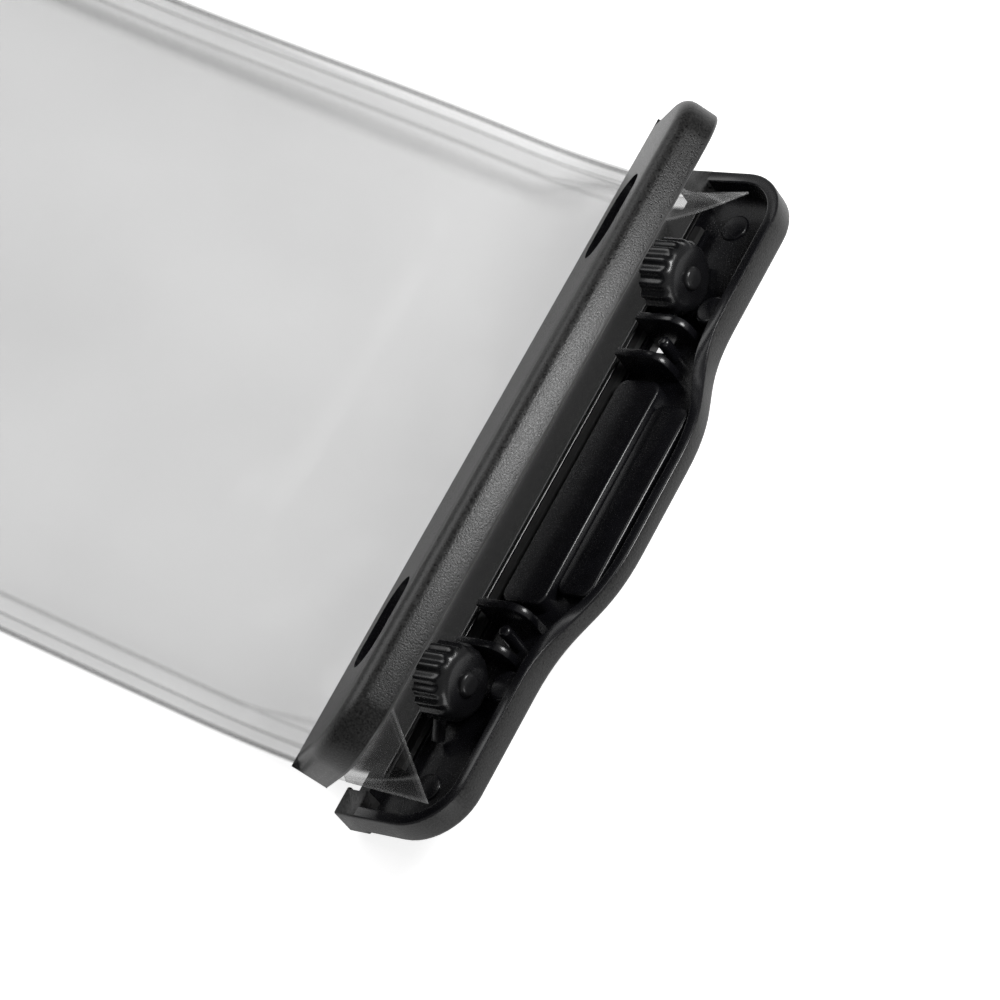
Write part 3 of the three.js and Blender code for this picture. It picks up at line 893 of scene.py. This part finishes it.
@dataclass
class RearJaw:
    """The lower jaw: a tray with a finger tab, hook plates, pegs, corner blocks and lock cheeks.

    Attributes:
        tab_drop: How far the tab's rim lies below the rest.
        dip_lead: How far before the free edge the rim starts to drop, then over what distance.
        block_w: The corner blocks, from beyond the bag-side edge to inside it.
        platform_w: The platform across the jaw, and shelf_w the lower shelf beyond it.
        slot_w: The moulding slots across the jaw.
        hook_x: The two hook plates of a snap hook, with peg_x between them.
    """

    stand: Stand
    fillet: float = 1.0
    rim_soft: float = 0.3
    tab_reach: float = 4.9
    tab_foot: float = 31.0
    tab_flat: float = 7.0
    tab_drop: float = 1.3
    tab_steps: int = 18
    dip_level: float = 1.6
    dip_lead: Span = (2.2, 4.5)
    dip_side: float = 9.0
    block_w: Span = (1.5, 2.4)
    block_lap: float = 0.4
    seat_end: float = 12.8
    platform_half: float = 19.0
    platform_w: Span = (13.5, 21.1)
    platform_drop: float = 0.9
    platform_corner: float = 1.8
    platform_soft: float = 0.45
    shelf_half: float = 16.0
    shelf_w: Span = (20.9, 27.2)
    shelf_drop: float = 2.0
    slot_x: float = 26.3
    slot_half: float = 0.9
    slot_w: Span = (13.5, 17.1)
    hook_x: Span = (21.4, 27.8)
    hook_w: Span = (13.2, 21.6)
    hook_rise: float = 2.2
    hook_skin: float = 1.2
    hook_arch: float = 3.0
    peg_x: float = 24.6
    peg_w: float = 19.0
    peg_radius: float = 0.95
    peg_rise: float = 1.0
    ring_x: float = 47.9
    ring_w: float = 16.7
    ring_radius: float = 2.2
    ring_rise: float = 0.35
    saddle_x: float = 31.9
    saddle_w: float = 22.4
    saddle_radius: float = 2.4
    saddle_drop: float = 0.8
    cheek_half: float = 3.0
    cheek_lead: float = 1.2
    cheek_skin: float = 0.9
    cheek_rise: float = 1.6

    def build(self) -> bpy.types.Object:
        """Builds the tray.

        Returns:
            The finished object.
        """
        low = CLIP.mate - CLIP.rear_depth
        rim = CLIP.mate - CLIP.rim_gap
        floor = low + CLIP.skin
        to_row = self.stand.jaw(CLIP.rear_tilt)
        middle = (self.tab_foot + self.tab_flat) / 2
        tab = []
        for i in range(self.tab_steps + 1):
            t = i / self.tab_steps
            x = (1 - t) ** 3 * self.tab_foot + 3 * t * (1 - t) * middle + t**3 * self.tab_flat
            tab.append((x, CLIP.free + self.tab_reach * ease(t)))
        corners = CLIP.corners()
        points = corners[:3] + tab + [(-x, y) for x, y in reversed(tab)] + corners[3:]
        shell = Solid().outline(points, low)
        at_end = CLIP.half - 0.1
        shell.round_corners(lambda c: c.y > CLIP.free - 0.1 and abs(c.x) > at_end, CLIP.corner, 12)
        shell.raise_face(rim - low)
        shell.hollow(rim, CLIP.wall, floor - rim)
        shell.soften(CLIP.bag_edge, CLIP.bag_corner, 4)
        shell.soften(edges_at(low), self.fillet, 5)
        shell.soften(edges_at(rim), self.rim_soft, 3)
        shell.move(lambda c: Vector((c.x, c.y, c.z - self.dip(c))))
        body = shell.finish("rear_jaw_tray")
        for face in body.data.polygons:
            if face.normal.z > 0.35 and face.center.z > low + 1:
                face.material_index = INSIDE
        fuse(body, self.fittings(floor, rim, low), self.cuts(floor, rim, low), to_row)
        smooth_by_angle(body)
        return body

    def dip(self, place: Vector) -> float:
        """How far the rim is lowered over the finger tab."""
        if place.z < CLIP.mate - self.dip_level:
            return 0.0
        before, reach = self.dip_lead
        along = ease((self.tab_foot - abs(place.x)) / self.dip_side)
        return self.tab_drop * ease((place.y - CLIP.free + before) / reach) * along

    def cuts(self, floor: float, rim: float, low: float) -> list[Solid]:
        """Forms cut out of the tray: the mouth's relief and the moulding slots."""
        made = [CLIP.mouth(CLIP.mate - CLIP.bag_rim, rim + PASS)]
        for side in (-1, 1):
            x = side * self.slot_x
            span = (x - self.slot_half, x + self.slot_half)
            made.append(brick(span, self.slot_w, (low - PASS, floor + PASS), 0))
        return made

    def fittings(self, floor: float, rim: float, low: float) -> list[Solid]:
        """Forms that stand in the tray.

        Args:
            floor: Top of the tray's floor.
            rim: Top of its wall.
            low: Its underside.

        Returns:
            The forms.
        """
        base = floor - SINK
        made = [
            CLIP.seat(self.seat_end, base, CLIP.mate - CLIP.seat_depth),
            self.platform(base, CLIP.mate - self.platform_drop, self.platform_half, self.platform_w),
            self.platform(base, CLIP.mate - self.shelf_drop, self.shelf_half, self.shelf_w),
        ]
        for side in (-1, 1):
            made += [self.hook(side * x, base - 0.1) for x in self.hook_x]
            made.append(self.peg(side * self.peg_x, base))
            made.append(self.cheek(side, base))
            foot = Vector((side * self.ring_x, self.ring_w, base))
            made.append(post(foot, self.ring_radius, SINK + self.ring_rise).soften_sharp(0.3, 3))
            rise = CLIP.mate - self.saddle_drop - base
            foot = Vector((side * self.saddle_x, self.saddle_w, base))
            made.append(post(foot, self.saddle_radius, rise).soften_sharp(0.5, 4))
        for form in made:
            form.paint_inside()
        return made + [self.block(side, low, rim) for side in (-1, 1)]

    def block(self, side: int, low: float, rim: float) -> Solid:
        """The solid block at a bag-side corner."""
        inner, outer = side * (CLIP.half - CLIP.pad_x - self.block_lap), side * CLIP.half
        beyond, within = self.block_w
        across = (CLIP.edge - beyond, CLIP.edge + within)
        return brick((min(inner, outer), max(inner, outer)), across, (low, rim + 0.02), 0.3)

    def platform(self, low: float, high: float, half: float, across: Span) -> Solid:
        """A pad with rounded corners."""
        near, far = across
        form = Solid().outline([(-half, near), (half, near), (half, far), (-half, far)], low)
        form.round_corners(lambda c: True, self.platform_corner, 6)
        form.raise_face(high - low)
        return form.soften(edges_at(high), self.platform_soft, 4)

    def hook(self, x: float, base: float) -> Solid:
        """A snap-hook plate with an arched end, raised from an outline that is drawn on its side."""
        near, far = self.hook_w
        top = CLIP.mate + self.hook_rise
        form = Solid().outline([(near, base), (far, base), (far, top), (near, top)], -self.hook_skin / 2)
        form.round_corners(lambda c: c.x > far - 0.1 and c.y > top - 0.1, self.hook_arch, 7)
        form.raise_face(self.hook_skin)
        bare = base + 1
        form.soften(lambda e: e.calc_face_angle(0.0) > 0.7 and min(v.co.y for v in e.verts) > bare, 0.22, 2)
        return form.set_along_x(x)

    def peg(self, x: float, base: float) -> Solid:
        """A round peg with a ball end between two hook plates."""
        top = CLIP.mate + self.peg_rise
        form = post(Vector((x, self.peg_w, base)), self.peg_radius, top - base)
        return form.soften(edges_at(top), 0.6, 4)

    def cheek(self, side: int, base: float) -> Solid:
        """The wall that carries a lock's axle."""
        x = side * CLIP.lock_x
        near = CLIP.knob_w - self.cheek_lead
        along = (x - self.cheek_half, x + self.cheek_half)
        return brick(along, (near, near + self.cheek_skin), (base, CLIP.knob_h + self.cheek_rise))


@dataclass
class Lock:
    """A ribbed thumb knob with a domed end and a locking lug, on its headed axle."""

    stand: Stand
    side: int
    radius: float = 5.4
    length: float = 5.0
    dome: float = 1.9
    ribs: int = 18
    rib_depth: float = 0.42
    rib_sides: int = 8
    flat_share: float = 0.7
    lug_reach: float = 8.3
    lug_y: Span = (0.3, 1.5)
    lug_half: float = 0.8
    lug_angle: float = math.radians(34)
    head_radius: float = 1.7
    head_length: float = 0.95
    head_sink: float = 0.2
    head_soft: float = 0.6

    @property
    def hand(self) -> str:
        """left or right."""
        return "left" if self.side < 0 else "right"

    def knob(self) -> bpy.types.Object:
        """Builds the knob."""
        to_row = self.stand.jaw(CLIP.rear_tilt)
        axis = Vector((self.side * CLIP.lock_x, CLIP.knob_w, CLIP.knob_h))
        form = bar(axis, self.radius, self.length, self.ribs * self.rib_sides)
        far = axis.y + self.length
        form.soften(edges_at(far, 1), self.dome, 8)

        def ribbed(place: Vector) -> Vector:
            """Pulls the surface in between the ribs, fading out over the dome."""
            flat = Vector((place.x - axis.x, 0, place.z - axis.z))
            if flat.length < self.radius * self.flat_share:
                return place
            angle = math.atan2(flat.z, flat.x)
            wave = 0.5 - 0.5 * math.cos(angle * self.ribs)
            fade = 1 - ease((place.y - (far - self.dome)) / self.dome)
            inward = self.rib_depth * wave * fade / flat.length
            return place - flat * inward

        form.move(ribbed)
        body = form.finish(f"lock_knob_{self.hand}_drum")
        fuse(body, [self.lug(axis)], [], to_row)
        smooth_by_angle(body, 38)
        return body

    def lug(self, axis: Vector) -> Solid:
        """The lug that turns under the front jaw's plate."""
        form = brick((0, self.lug_reach), self.lug_y, (-self.lug_half, self.lug_half))
        angle = self.lug_angle if self.side > 0 else math.pi - self.lug_angle
        turn = Matrix.Translation(axis) @ Matrix.Rotation(angle, 4, "Y")
        bmesh.ops.transform(form.bm, matrix=turn, verts=form.bm.verts)
        return form

    def head(self) -> bpy.types.Object:
        """Builds the axle's domed head."""
        place = Vector((self.side * CLIP.lock_x, CLIP.knob_w + self.length - self.head_sink, CLIP.knob_h))
        form = bar(place, self.head_radius, self.head_length)
        form.soften(edges_at(place.y + self.head_length, 1), self.head_soft, 5)
        made = form.finish(f"lock_pin_{self.hand}_head", self.stand.jaw(CLIP.rear_tilt))
        smooth_by_angle(made)
        return made


@dataclass
class Seal:
    """A soft strip with a hollowed face that presses the film."""

    stand: Stand
    sign: int
    near: float = 10.1
    width: float = 2.4
    depth: float = 1.45
    lead: float = 0.15
    dish: float = 0.3
    fall: float = 0.7
    steps: int = 10

    def build(self) -> bpy.types.Object:
        """Builds the strip from its section, drawn along X."""
        name = "front_seal_strip" if self.sign > 0 else "rear_seal_strip"
        tilt = CLIP.front_tilt if self.sign > 0 else CLIP.rear_tilt
        face = CLIP.mate + self.sign * CLIP.bag_rim
        back = face + self.sign * self.depth
        section = [(self.near, back), (self.near, face + self.sign * self.lead)]
        for i in range(self.steps + 1):
            t = i / self.steps
            hollow = self.dish * math.sin(math.pi * t) + self.fall * t * t
            across = self.near + self.lead + (self.width - 2 * self.lead) * t
            section.append((across, face + self.sign * hollow))
        section.append((self.near + self.width, back))
        form = Solid().outline(section, -CLIP.seal_half).raise_face(2 * CLIP.seal_half)
        made = form.set_along_x(0.0).finish(name, self.stand.jaw(tilt))
        smooth_by_angle(made)
        return made


@dataclass
class Bag:
    """The film bag: two sheets welded along three sides, with a pocket that keeps its filled shape.

    Places along the bag are measured from the fold line, towards the clip. Places w across a jaw and
    heights h above its fold line are in the jaw's own frame.

    Attributes:
        back_level: Height of the back sheet's middle above the table.
        rise_start: The back sheet lies flat up to here, and climbs to the rear jaw from here on.
        rim_w: Where the back sheet's climb ends on the rear jaw's rim, after climb_w steers it.
        sheet_gap: From the back sheet's middle to the front sheet's along the welds.
        lip_gap: From the mating plane to a sheet that a jaw holds.
        lip_w: The front sheet's edge inside the front jaw, with its cut at the fold's side.
        back_end_w: The back sheet's edge inside the rear jaw.
        height: Height of the pocket's flat top.
        mouth_rise: Where the flat top starts to rise to the front jaw, and over what distance.
        spread: Where the mouth starts to open over the bag's whole width, and over what distance.
        spread_side: The opened mouth's margin at each side, and the slope inside it.
        ridge_half: Half the width of the ridge pressed into the front sheet, with ridge_end its end.
        curl_rise: How far the welded edge lifts off the table near the clip's left end.
        back_cut: The back sheet's flat size in metres, with front_cut that of the front sheet; neither is
            used.
    """

    stand: Stand
    length: float = 186.0
    half: float = 50.6
    end_corner: float = 13.0
    film: float = 0.3
    weld: float = 5.0
    slope: float = 9.0
    end_margin: float = 2.0
    back_level: float = 0.25
    rise_start: float = 18.0
    climb_w: float = 1.4
    rim_w: float = 7.4
    sheet_gap: float = 0.55
    lip_gap: float = 0.4
    lip_w: Span = (6.6, 12.3)
    back_end_w: float = 12.2
    height: float = 8.1
    mouth_rise: Span = (-16.0, 22.0)
    spread: Span = (-12.0, 16.0)
    spread_side: Span = (1.5, 6.5)
    fold_lift: float = 0.8
    fold_most: float = 0.9
    ridge_half: float = 37.0
    ridge_end: float = -16.0
    ridge_corner: float = 12.0
    ridge_width: float = 2.4
    ridge_rise: float = 0.35
    seam_inset: float = 2.4
    seam_width: float = 0.5
    seam_rise: float = 0.12
    curl_rise: float = 3.6
    curl_side: float = 18.0
    back_cut: Span = (0.1012, 0.201)
    front_cut: Span = (0.105, 0.199)
    columns: int = 132
    rows: int = 250

    def half_at(self, y: float) -> float:
        """Half width at a place along the bag, with the rounded end corners."""
        d = min(max(-self.length + self.end_corner - y, 0.0), self.end_corner)
        return self.half - self.end_corner + math.sqrt(self.end_corner**2 - d**2)

    def lip(self, w: float, h: float, tilt: float) -> Vector:
        """A point of a jaw's frame as (y, z), with Y from the fold line and Z from the table."""
        rise = self.stand.fold.z / MM + w * math.sin(tilt) + h * math.cos(tilt)
        return Vector((w * math.cos(tilt) - h * math.sin(tilt), rise))

    def back_line(self, y: float) -> float:
        """Middle height of the back sheet at y, from the table up onto the rear jaw's rim."""
        level = self.back_level
        end = self.lip(self.rim_w, CLIP.mate - self.lip_gap, CLIP.rear_tilt)
        if y <= -self.rise_start:
            return level
        if y >= end.x:
            return end.y + (y - end.x) * math.tan(CLIP.rear_tilt)
        before = self.lip(self.climb_w, CLIP.mate - self.lip_gap, CLIP.rear_tilt)
        curve = [Vector((-self.rise_start, level)), Vector((-self.rise_start / 2, level)), before, end]
        low, high = 0.0, 1.0
        for _ in range(24):
            t = (low + high) / 2
            weights = ((1 - t) ** 3, 3 * t * (1 - t) ** 2, 3 * t * t * (1 - t), t**3)
            if sum(w * p.x for w, p in zip(weights, curve)) < y:
                low = t
            else:
                high = t
        return sum(w * p.y for w, p in zip(weights, curve))

    def pocket(self, x: float, y: float) -> float:
        """0 on the weld, 1 on the flat top over the pocket, easing round its corners."""
        margin = self.weld + self.slope
        inner_half = self.half - margin
        low_end = -self.length + margin + self.end_margin
        dx = max(abs(x) - inner_half, 0.0)
        dy = max(low_end - y, 0.0)
        return ease(1 - math.hypot(dx, dy) / self.slope)

    def wrinkle(self, x: float, y: float) -> float:
        """Soft folds of the front sheet, strongest near the clip and along the pocket's edge."""
        near_clip = ease((y + 46) / 30) * (1 - ease((y + 1) / 6))
        broad = noise.noise(Vector((x * 0.05, y * 0.09, 3.1)))
        cross = noise.noise(Vector((x * 0.11 + y * 0.05, y * 0.03, 7.7)))
        calm = noise.noise(Vector((x * 0.03, y * 0.02, 1.3)))
        return near_clip * (1.0 * broad + 0.4 * cross) + 0.4 * calm

    def curl(self, x: float, y: float) -> float:
        """How far the welded edge lifts off the table near the clip's left end."""
        near_clip = ease((y + 80) / 65) * (1 - ease(y / 8))
        return self.curl_rise * near_clip * ease((-x - self.half + self.curl_side) / self.curl_side)

    def contour(self, x: float, y: float) -> float:
        """The low ridge pressed into the sheet round the pocket's rounded end."""
        across = max(abs(x) - (self.ridge_half - self.ridge_corner), 0.0)
        along = max(y - (self.ridge_end - self.ridge_corner), 0.0)
        ring = math.hypot(across, along) - self.ridge_corner
        return math.exp(-((ring / self.ridge_width) ** 2))

    def grid(self, name: str, height: Callable[[float, float], float], last: float) -> Solid:
        """A sheet over the bag's plan.

        Args:
            name: Used in the log.
            height: Gives the sheet's middle at a plan point.
            last: Where the sheet ends towards the clip.

        Returns:
            The open sheet.
        """
        form = Solid()
        bmesh.ops.create_grid(form.bm, x_segments=self.columns, y_segments=self.rows, size=1.0)
        reach = self.length + last

        def lay(place: Vector) -> Vector:
            """Spreads the grid over the plan and lifts it."""
            y = -self.length + reach * (place.y + 1) / 2
            y = max(y, -self.length + 0.02)
            x = place.x * self.half_at(y)
            return Vector((x, y, height(x, y)))

        LOG.info("%s has %d vertices", name, len(form.bm.verts))
        return form.move(lay)

    def front(self) -> bpy.types.Object:
        """The front sheet, up into the front jaw."""
        mouth = self.lip(self.lip_w[0], CLIP.mate + self.lip_gap, CLIP.front_tilt)

        def height(x: float, y: float) -> float:
            """Height of the front sheet's middle."""
            floor = self.back_line(min(y, 6.0)) + self.sheet_gap
            top = self.height + (mouth.y - self.height) * eased(y, self.mouth_rise)
            rise = self.pocket(x, y)
            near = eased(y, self.spread)
            margin, side_slope = self.spread_side
            opened = ease((self.half - margin - abs(x)) / side_slope)
            rise = rise * (1 - near) + max(rise, opened) * near
            lift = self.wrinkle(x, y) * rise * self.fold_lift + self.contour(x, y) * self.ridge_rise * rise
            off_seam = (self.half_at(y) - abs(x) - self.seam_inset) / self.seam_width
            seam = self.seam_rise * math.exp(-(off_seam**2))
            return floor + (top - floor) * rise + min(lift, self.fold_most) + seam + self.curl(x, y)

        sheet = self.grid("front_sheet", height, mouth.x)
        return self.thicken(sheet.finish("front_film_sheet", self.stand.flat()))

    def back(self) -> bpy.types.Object:
        """The back sheet, flat on the table and up onto the rear jaw."""
        end = self.lip(self.back_end_w, CLIP.mate - self.lip_gap, CLIP.rear_tilt)

        def height(x: float, y: float) -> float:
            """Height of the back sheet's middle."""
            return self.back_line(y) + self.curl(x, y)

        sheet = self.grid("back_sheet", height, end.x)
        return self.thicken(sheet.finish("back_film_sheet", self.stand.flat()))

    def front_lip(self) -> bpy.types.Object:
        """The front sheet's mouth edge on the front jaw's seal."""
        start, end = self.lip_w
        level = CLIP.mate + self.lip_gap
        form = Solid()
        bmesh.ops.create_grid(form.bm, x_segments=60, y_segments=8, size=1.0)
        form.move(lambda c: Vector((c.x * self.half, start + (end - start) * (c.y + 1) / 2, level)))
        return self.thicken(form.finish("front_film_lip", self.stand.jaw(CLIP.front_tilt)))

    def thicken(self, sheet: bpy.types.Object) -> bpy.types.Object:
        """Gives a sheet the film's thickness.

        Args:
            sheet: The open sheet.

        Returns:
            The same object, closed.
        """
        wall = sheet.modifiers.new("film", "SOLIDIFY")
        wall.thickness = self.film * MM
        wall.offset = 0.0
        graph = bpy.context.evaluated_depsgraph_get()
        closed = bpy.data.meshes.new_from_object(sheet.evaluated_get(graph), depsgraph=graph)
        sheet.modifiers.clear()
        sheet.data = closed
        closed.shade_smooth()
        return sheet


@dataclass
class Ear:
    """One end of the front sheet beyond the seals, hung between its welded seam and the front jaw.

    A point of it has a share u across, from the seam to the front jaw, and a share s along, from the fold.

    Attributes:
        side: -1 for the left end, 1 for the right.
        seam_start: Where the seam starts across the rear jaw, and held_w where the front jaw holds the edge.
        reach: How far the seam goes across the rear jaw, and taper how far the held edge runs inwards;
            reach_by_side and taper_by_side are what the right end adds to them and the left end takes off.
        sag: How far the middle hangs, in the direction sag_to; pinch is how far it draws inwards.
        bands: Place, half width and strength of the weld's lines across, and hems of those along.
    """

    bag: Bag
    side: int
    columns: int = 56
    rows: int = 48
    seam_h: float = 0.15
    seam_start: float = 6.2
    seam_out: Span = (0.2, 1.0)
    held_w: Span = (6.4, 6.2)
    held_in: float = 0.6
    reach: float = 20.3
    reach_by_side: float = 1.3
    taper: float = 10.5
    taper_by_side: float = -0.7
    pinch: float = 1.0
    sag: float = 1.5
    sag_to: tuple[float, float, float] = (0, -0.62, -0.78)
    sag_start: float = 0.4
    bands: tuple[tuple[float, float, float], ...] = ((0.015, 0.03, 1.0), (0.2, 0.025, 0.8))
    hems: tuple[tuple[float, float, float], ...] = ((0.985, 0.02, 1.0), (0.94, 0.02, 0.4))
    seam_share: float = 0.2
    seam_tone: float = 0.25

    def weld(self, u: float, s: float) -> float:
        """How welded the film is at a point, from 0 to 1."""
        lines = [(u, *band) for band in self.bands] + [(s, *hem) for hem in self.hems]
        total = sum(part * max(0.0, 1 - abs(share - middle) / half) for share, middle, half, part in lines)
        return min(total + self.seam_tone * (u < self.seam_share), 1.0)

    def point(self, u: float, s: float) -> Vector:
        """Where a point hangs, with Y from the fold line and Z from the table."""
        bag, side = self.bag, self.side
        reach = self.reach + self.reach_by_side * side
        taper = self.taper + self.taper_by_side * side
        across = self.seam_start + s * (reach - self.seam_start)
        seam_end = bag.lip(across, CLIP.mate + self.seam_h, CLIP.rear_tilt)
        seam = Vector((side * (bag.half + self.seam_out[0] + self.seam_out[1] * s), seam_end.x, seam_end.y))
        held_end = bag.lip(self.held_w[0] + s * self.held_w[1], CLIP.mate + bag.lip_gap, CLIP.front_tilt)
        held = Vector((side * (bag.half - self.held_in - taper * s * s), held_end.x, held_end.y))
        point = seam.lerp(held, u)
        slack = math.sin(math.pi * u) * s
        point.x -= side * self.pinch * slack
        point += Vector(self.sag_to) * (self.sag * slack * (self.sag_start + (1 - self.sag_start) * s))
        return point

    def build(self) -> bpy.types.Object:
        """Builds the sheet, with its welds in an attribute.

        Returns:
            The finished object.
        """
        form = Solid()
        weld = form.bm.verts.layers.float.new(WELD)
        bmesh.ops.create_grid(form.bm, x_segments=self.columns, y_segments=self.rows, size=1.0)
        for vert in form.bm.verts:
            vert[weld] = self.weld((vert.co.x + 1) / 2, (vert.co.y + 1) / 2)
        form.move(lambda c: self.point((c.x + 1) / 2, (c.y + 1) / 2))
        hand = "left" if self.side < 0 else "right"
        return self.bag.thicken(form.finish(f"film_ear_{hand}", self.bag.stand.flat()))


@dataclass(frozen=True)
class Lamp:
    """A soft square lamp; its Y is counted from the fold line."""

    name: str
    place: tuple[float, float, float]
    size: float
    power: float


@dataclass
class Studio:
    """Camera, lamps and floor."""

    fold_y: float
    eye: Vector = field(default_factory=lambda: Vector((0.23283, 0.13095, 0.52378)))
    right: Vector = field(default_factory=lambda: Vector((-0.4480, 0.8934, -0.0153)))
    down: Vector = field(default_factory=lambda: Vector((0.8013, 0.3962, -0.4476)))
    lens: float = 151.3
    sensor: float = 36.0
    target_height: float = 0.01
    surround: float = 0.22
    floor_half: float = 3000.0
    floor_drop: float = 0.00005
    floor_seen: float = 0.75
    floor_mirrored: float = 0.35
    lamps: tuple[Lamp, ...] = (
        Lamp("key", (-0.06, 0.079, 0.139), 0.05, 0.13),
        Lamp("side", (0.35, 0.55, 0.12), 0.3, 0.7),
        Lamp("far_side", (-0.2, -0.7, 0.55), 0.6, 2.5),
    )

    def camera(self) -> None:
        """Sets the camera at the photograph's angle."""
        forward = self.right.cross(self.down)
        turn = Matrix((self.right, -self.down, -forward)).transposed().to_4x4()
        data = bpy.data.cameras.new("camera")
        data.lens = self.lens
        data.sensor_width = self.sensor
        data.clip_start = 0.01
        made = bpy.data.objects.new("camera", data)
        bpy.context.scene.collection.objects.link(made)
        made.matrix_world = Matrix.Translation(self.eye + Vector((0, self.fold_y, 0))) @ turn
        bpy.context.scene.camera = made

    def hang(self, lamp: Lamp) -> None:
        """Adds a lamp that faces the clip."""
        data = bpy.data.lights.new(lamp.name, "AREA")
        data.shape = "SQUARE"
        data.size = lamp.size
        data.energy = lamp.power
        made = bpy.data.objects.new(lamp.name, data)
        made.visible_camera = False
        bpy.context.scene.collection.objects.link(made)
        spot = Vector(lamp.place) + Vector((0, self.fold_y, 0))
        target = Vector((0, self.fold_y, self.target_height))
        facing = (target - spot).to_track_quat("-Z", "Y").to_matrix().to_4x4()
        made.matrix_world = Matrix.Translation(spot) @ facing

    def floor(self) -> None:
        """Adds the pale floor, which shows as white and still takes the object's shadow."""
        form = Solid()
        bmesh.ops.create_grid(form.bm, x_segments=1, y_segments=1, size=self.floor_half)
        made = form.finish("floor", Matrix.Translation((0, 0, -self.floor_drop)) @ Matrix.Scale(MM, 4))
        net = Net("floor_white")
        net.feed("Base Color", (0.93, 0.93, 0.93, 1.0))
        net.feed("Roughness", 0.9)
        net.feed("Specular IOR Level", 0.1)
        seen = net.add("ShaderNodeLightPath", {}, {}, "Is Camera Ray")
        mirrored = net.add("ShaderNodeLightPath", {}, {}, "Is Glossy Ray")
        net.feed("Emission Color", (1, 1, 1, 1))
        net.feed("Emission Strength", seen * self.floor_seen + mirrored * self.floor_mirrored)
        made.data.materials.append(net.material)

    def world(self) -> None:
        """Sets a dim even surround."""
        scene = bpy.context.scene
        scene.world = bpy.data.worlds.new("surround")
        scene.world.use_nodes = True
        ground = scene.world.node_tree.nodes["Background"]
        ground.inputs[0].default_value = (1, 1, 1, 1)
        ground.inputs[1].default_value = self.surround
        scene.view_settings.view_transform = "Standard"

    def build(self) -> None:
        """Builds the whole setting."""
        self.camera()
        self.world()
        self.floor()
        for lamp in self.lamps:
            self.hang(lamp)


@dataclass
class Pouch:
    """The whole pouch, dressed piece by piece.

    Attributes:
        band_half: Half the length of the band between the jaws that is painted with a highlight fading into
            shade.
        bend_start: Where the front sheet starts to follow the front jaw, from the fold line in metres.
        bend_end: Where it follows the front jaw wholly.
        ear_foot: A point on the ears' seam in the rear jaw's frame, where they start to follow.
        ear_bend: How far above it, between the jaws, they follow the front jaw wholly, in metres.
    """

    stand: Stand
    band_half: float = 49.0
    bend_start: tuple[float, float, float] = (0, -0.009, 0.0036)
    bend_end: tuple[float, float, float] = (0, 0.0062, 0.0042)
    ear_foot: Vector = field(default_factory=lambda: Vector((0, 14.0, CLIP.mate + 0.2)))
    ear_bend: float = 0.0062

    def dress_clip(self) -> None:
        """Builds both jaws, the seals and the locks."""
        zero = tuple(self.stand.fold)
        for jaw, tilt, body, node in (
            (FrontJaw(self.stand), CLIP.front_tilt, Body.FRONT, "front_jaw"),
            (RearJaw(self.stand), CLIP.rear_tilt, Body.POUCH, "rear_jaw"),
        ):
            outside = Grained(f"{node}_grain").make(tilt, zero)
            inside = Polished(f"{node}_inside").make(tilt, zero)
            # The bead's lighter tone is a painted highlight on the rim's rounding; its roughness is real.
            bead_painted_highlight = Polished(f"{node}_bead", (0.04, 0.04, 0.04), 0.34, 0.0).make(tilt, zero)
            settle(jaw.build(), body, Slot.SHELL, [outside, inside, bead_painted_highlight], node)
        for sign, tilt, body, node in (
            (1, CLIP.front_tilt, Body.FRONT, "front_seal"),
            (-1, CLIP.rear_tilt, Body.POUCH, "rear_seal"),
        ):
            satin = Rubbery(f"{node}_satin").make(tilt, zero)
            settle(Seal(self.stand, sign).build(), body, Slot.SEAL, [satin], node)
        for side, body in ((-1, Body.LOCK_LEFT), (1, Body.LOCK_RIGHT)):
            lock = Lock(self.stand, side)
            gloss = Polished(f"knob_{lock.hand}", (0.008, 0.008, 0.009), 0.28, 0.15)
            satin = Polished(f"pin_{lock.hand}", (0.014, 0.014, 0.015), 0.3, 0.1)
            knob, pin = (finish.make(CLIP.rear_tilt, zero) for finish in (gloss, satin))
            settle(lock.knob(), body, Slot.KNOB, [knob], f"lock_knob_{lock.hand}")
            settle(lock.head(), Body.POUCH, Slot.PIN, [pin], f"lock_pin_{lock.hand}")

    def dress_bag(self) -> None:
        """Builds the two sheets, the mouth's lip and the folded ears."""
        bag = Bag(self.stand)
        fold = self.stand.fold
        clear = ClearFilm("film_clear", bag.half).make(fold.y)
        # The back sheet's film carries the band of painted highlight and painted shade between the jaws.
        painted_band_film = ClearFilm("film_painted_band", bag.half, band_half=self.band_half).make(fold.y)
        back = bag.back()
        settle(back, Body.POUCH, Slot.FILM, [painted_band_film], "back_film")
        front = bag.front()
        follow(front, clear, fold + Vector(self.bend_start), fold + Vector(self.bend_end))
        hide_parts("front_film")
        lip = bag.front_lip()
        settle(lip, Body.FRONT, Slot.FILM, [clear], "front_mouth_lip")
        middle = (CLIP.rear_tilt + CLIP.front_tilt) / 2
        across = Vector((0, -math.sin(middle), math.cos(middle)))
        foot = self.stand.jaw(CLIP.rear_tilt) @ self.ear_foot
        for side in (-1, 1):
            ear = Ear(bag, side).build()
            follow(ear, clear, foot, foot + across * self.ear_bend)


def main() -> None:
    """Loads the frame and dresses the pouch."""
    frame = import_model()
    hinge = next(j for j in frame["joints"] if j["name"] == "clip_fold")
    stand = Stand(Vector(hinge["pos_m"]))
    Studio(stand.fold.y).build()
    pouch = Pouch(stand)
    pouch.dress_clip()
    pouch.dress_bag()


if __name__ == "__main__":
    logging.basicConfig(level=logging.INFO)
    main()
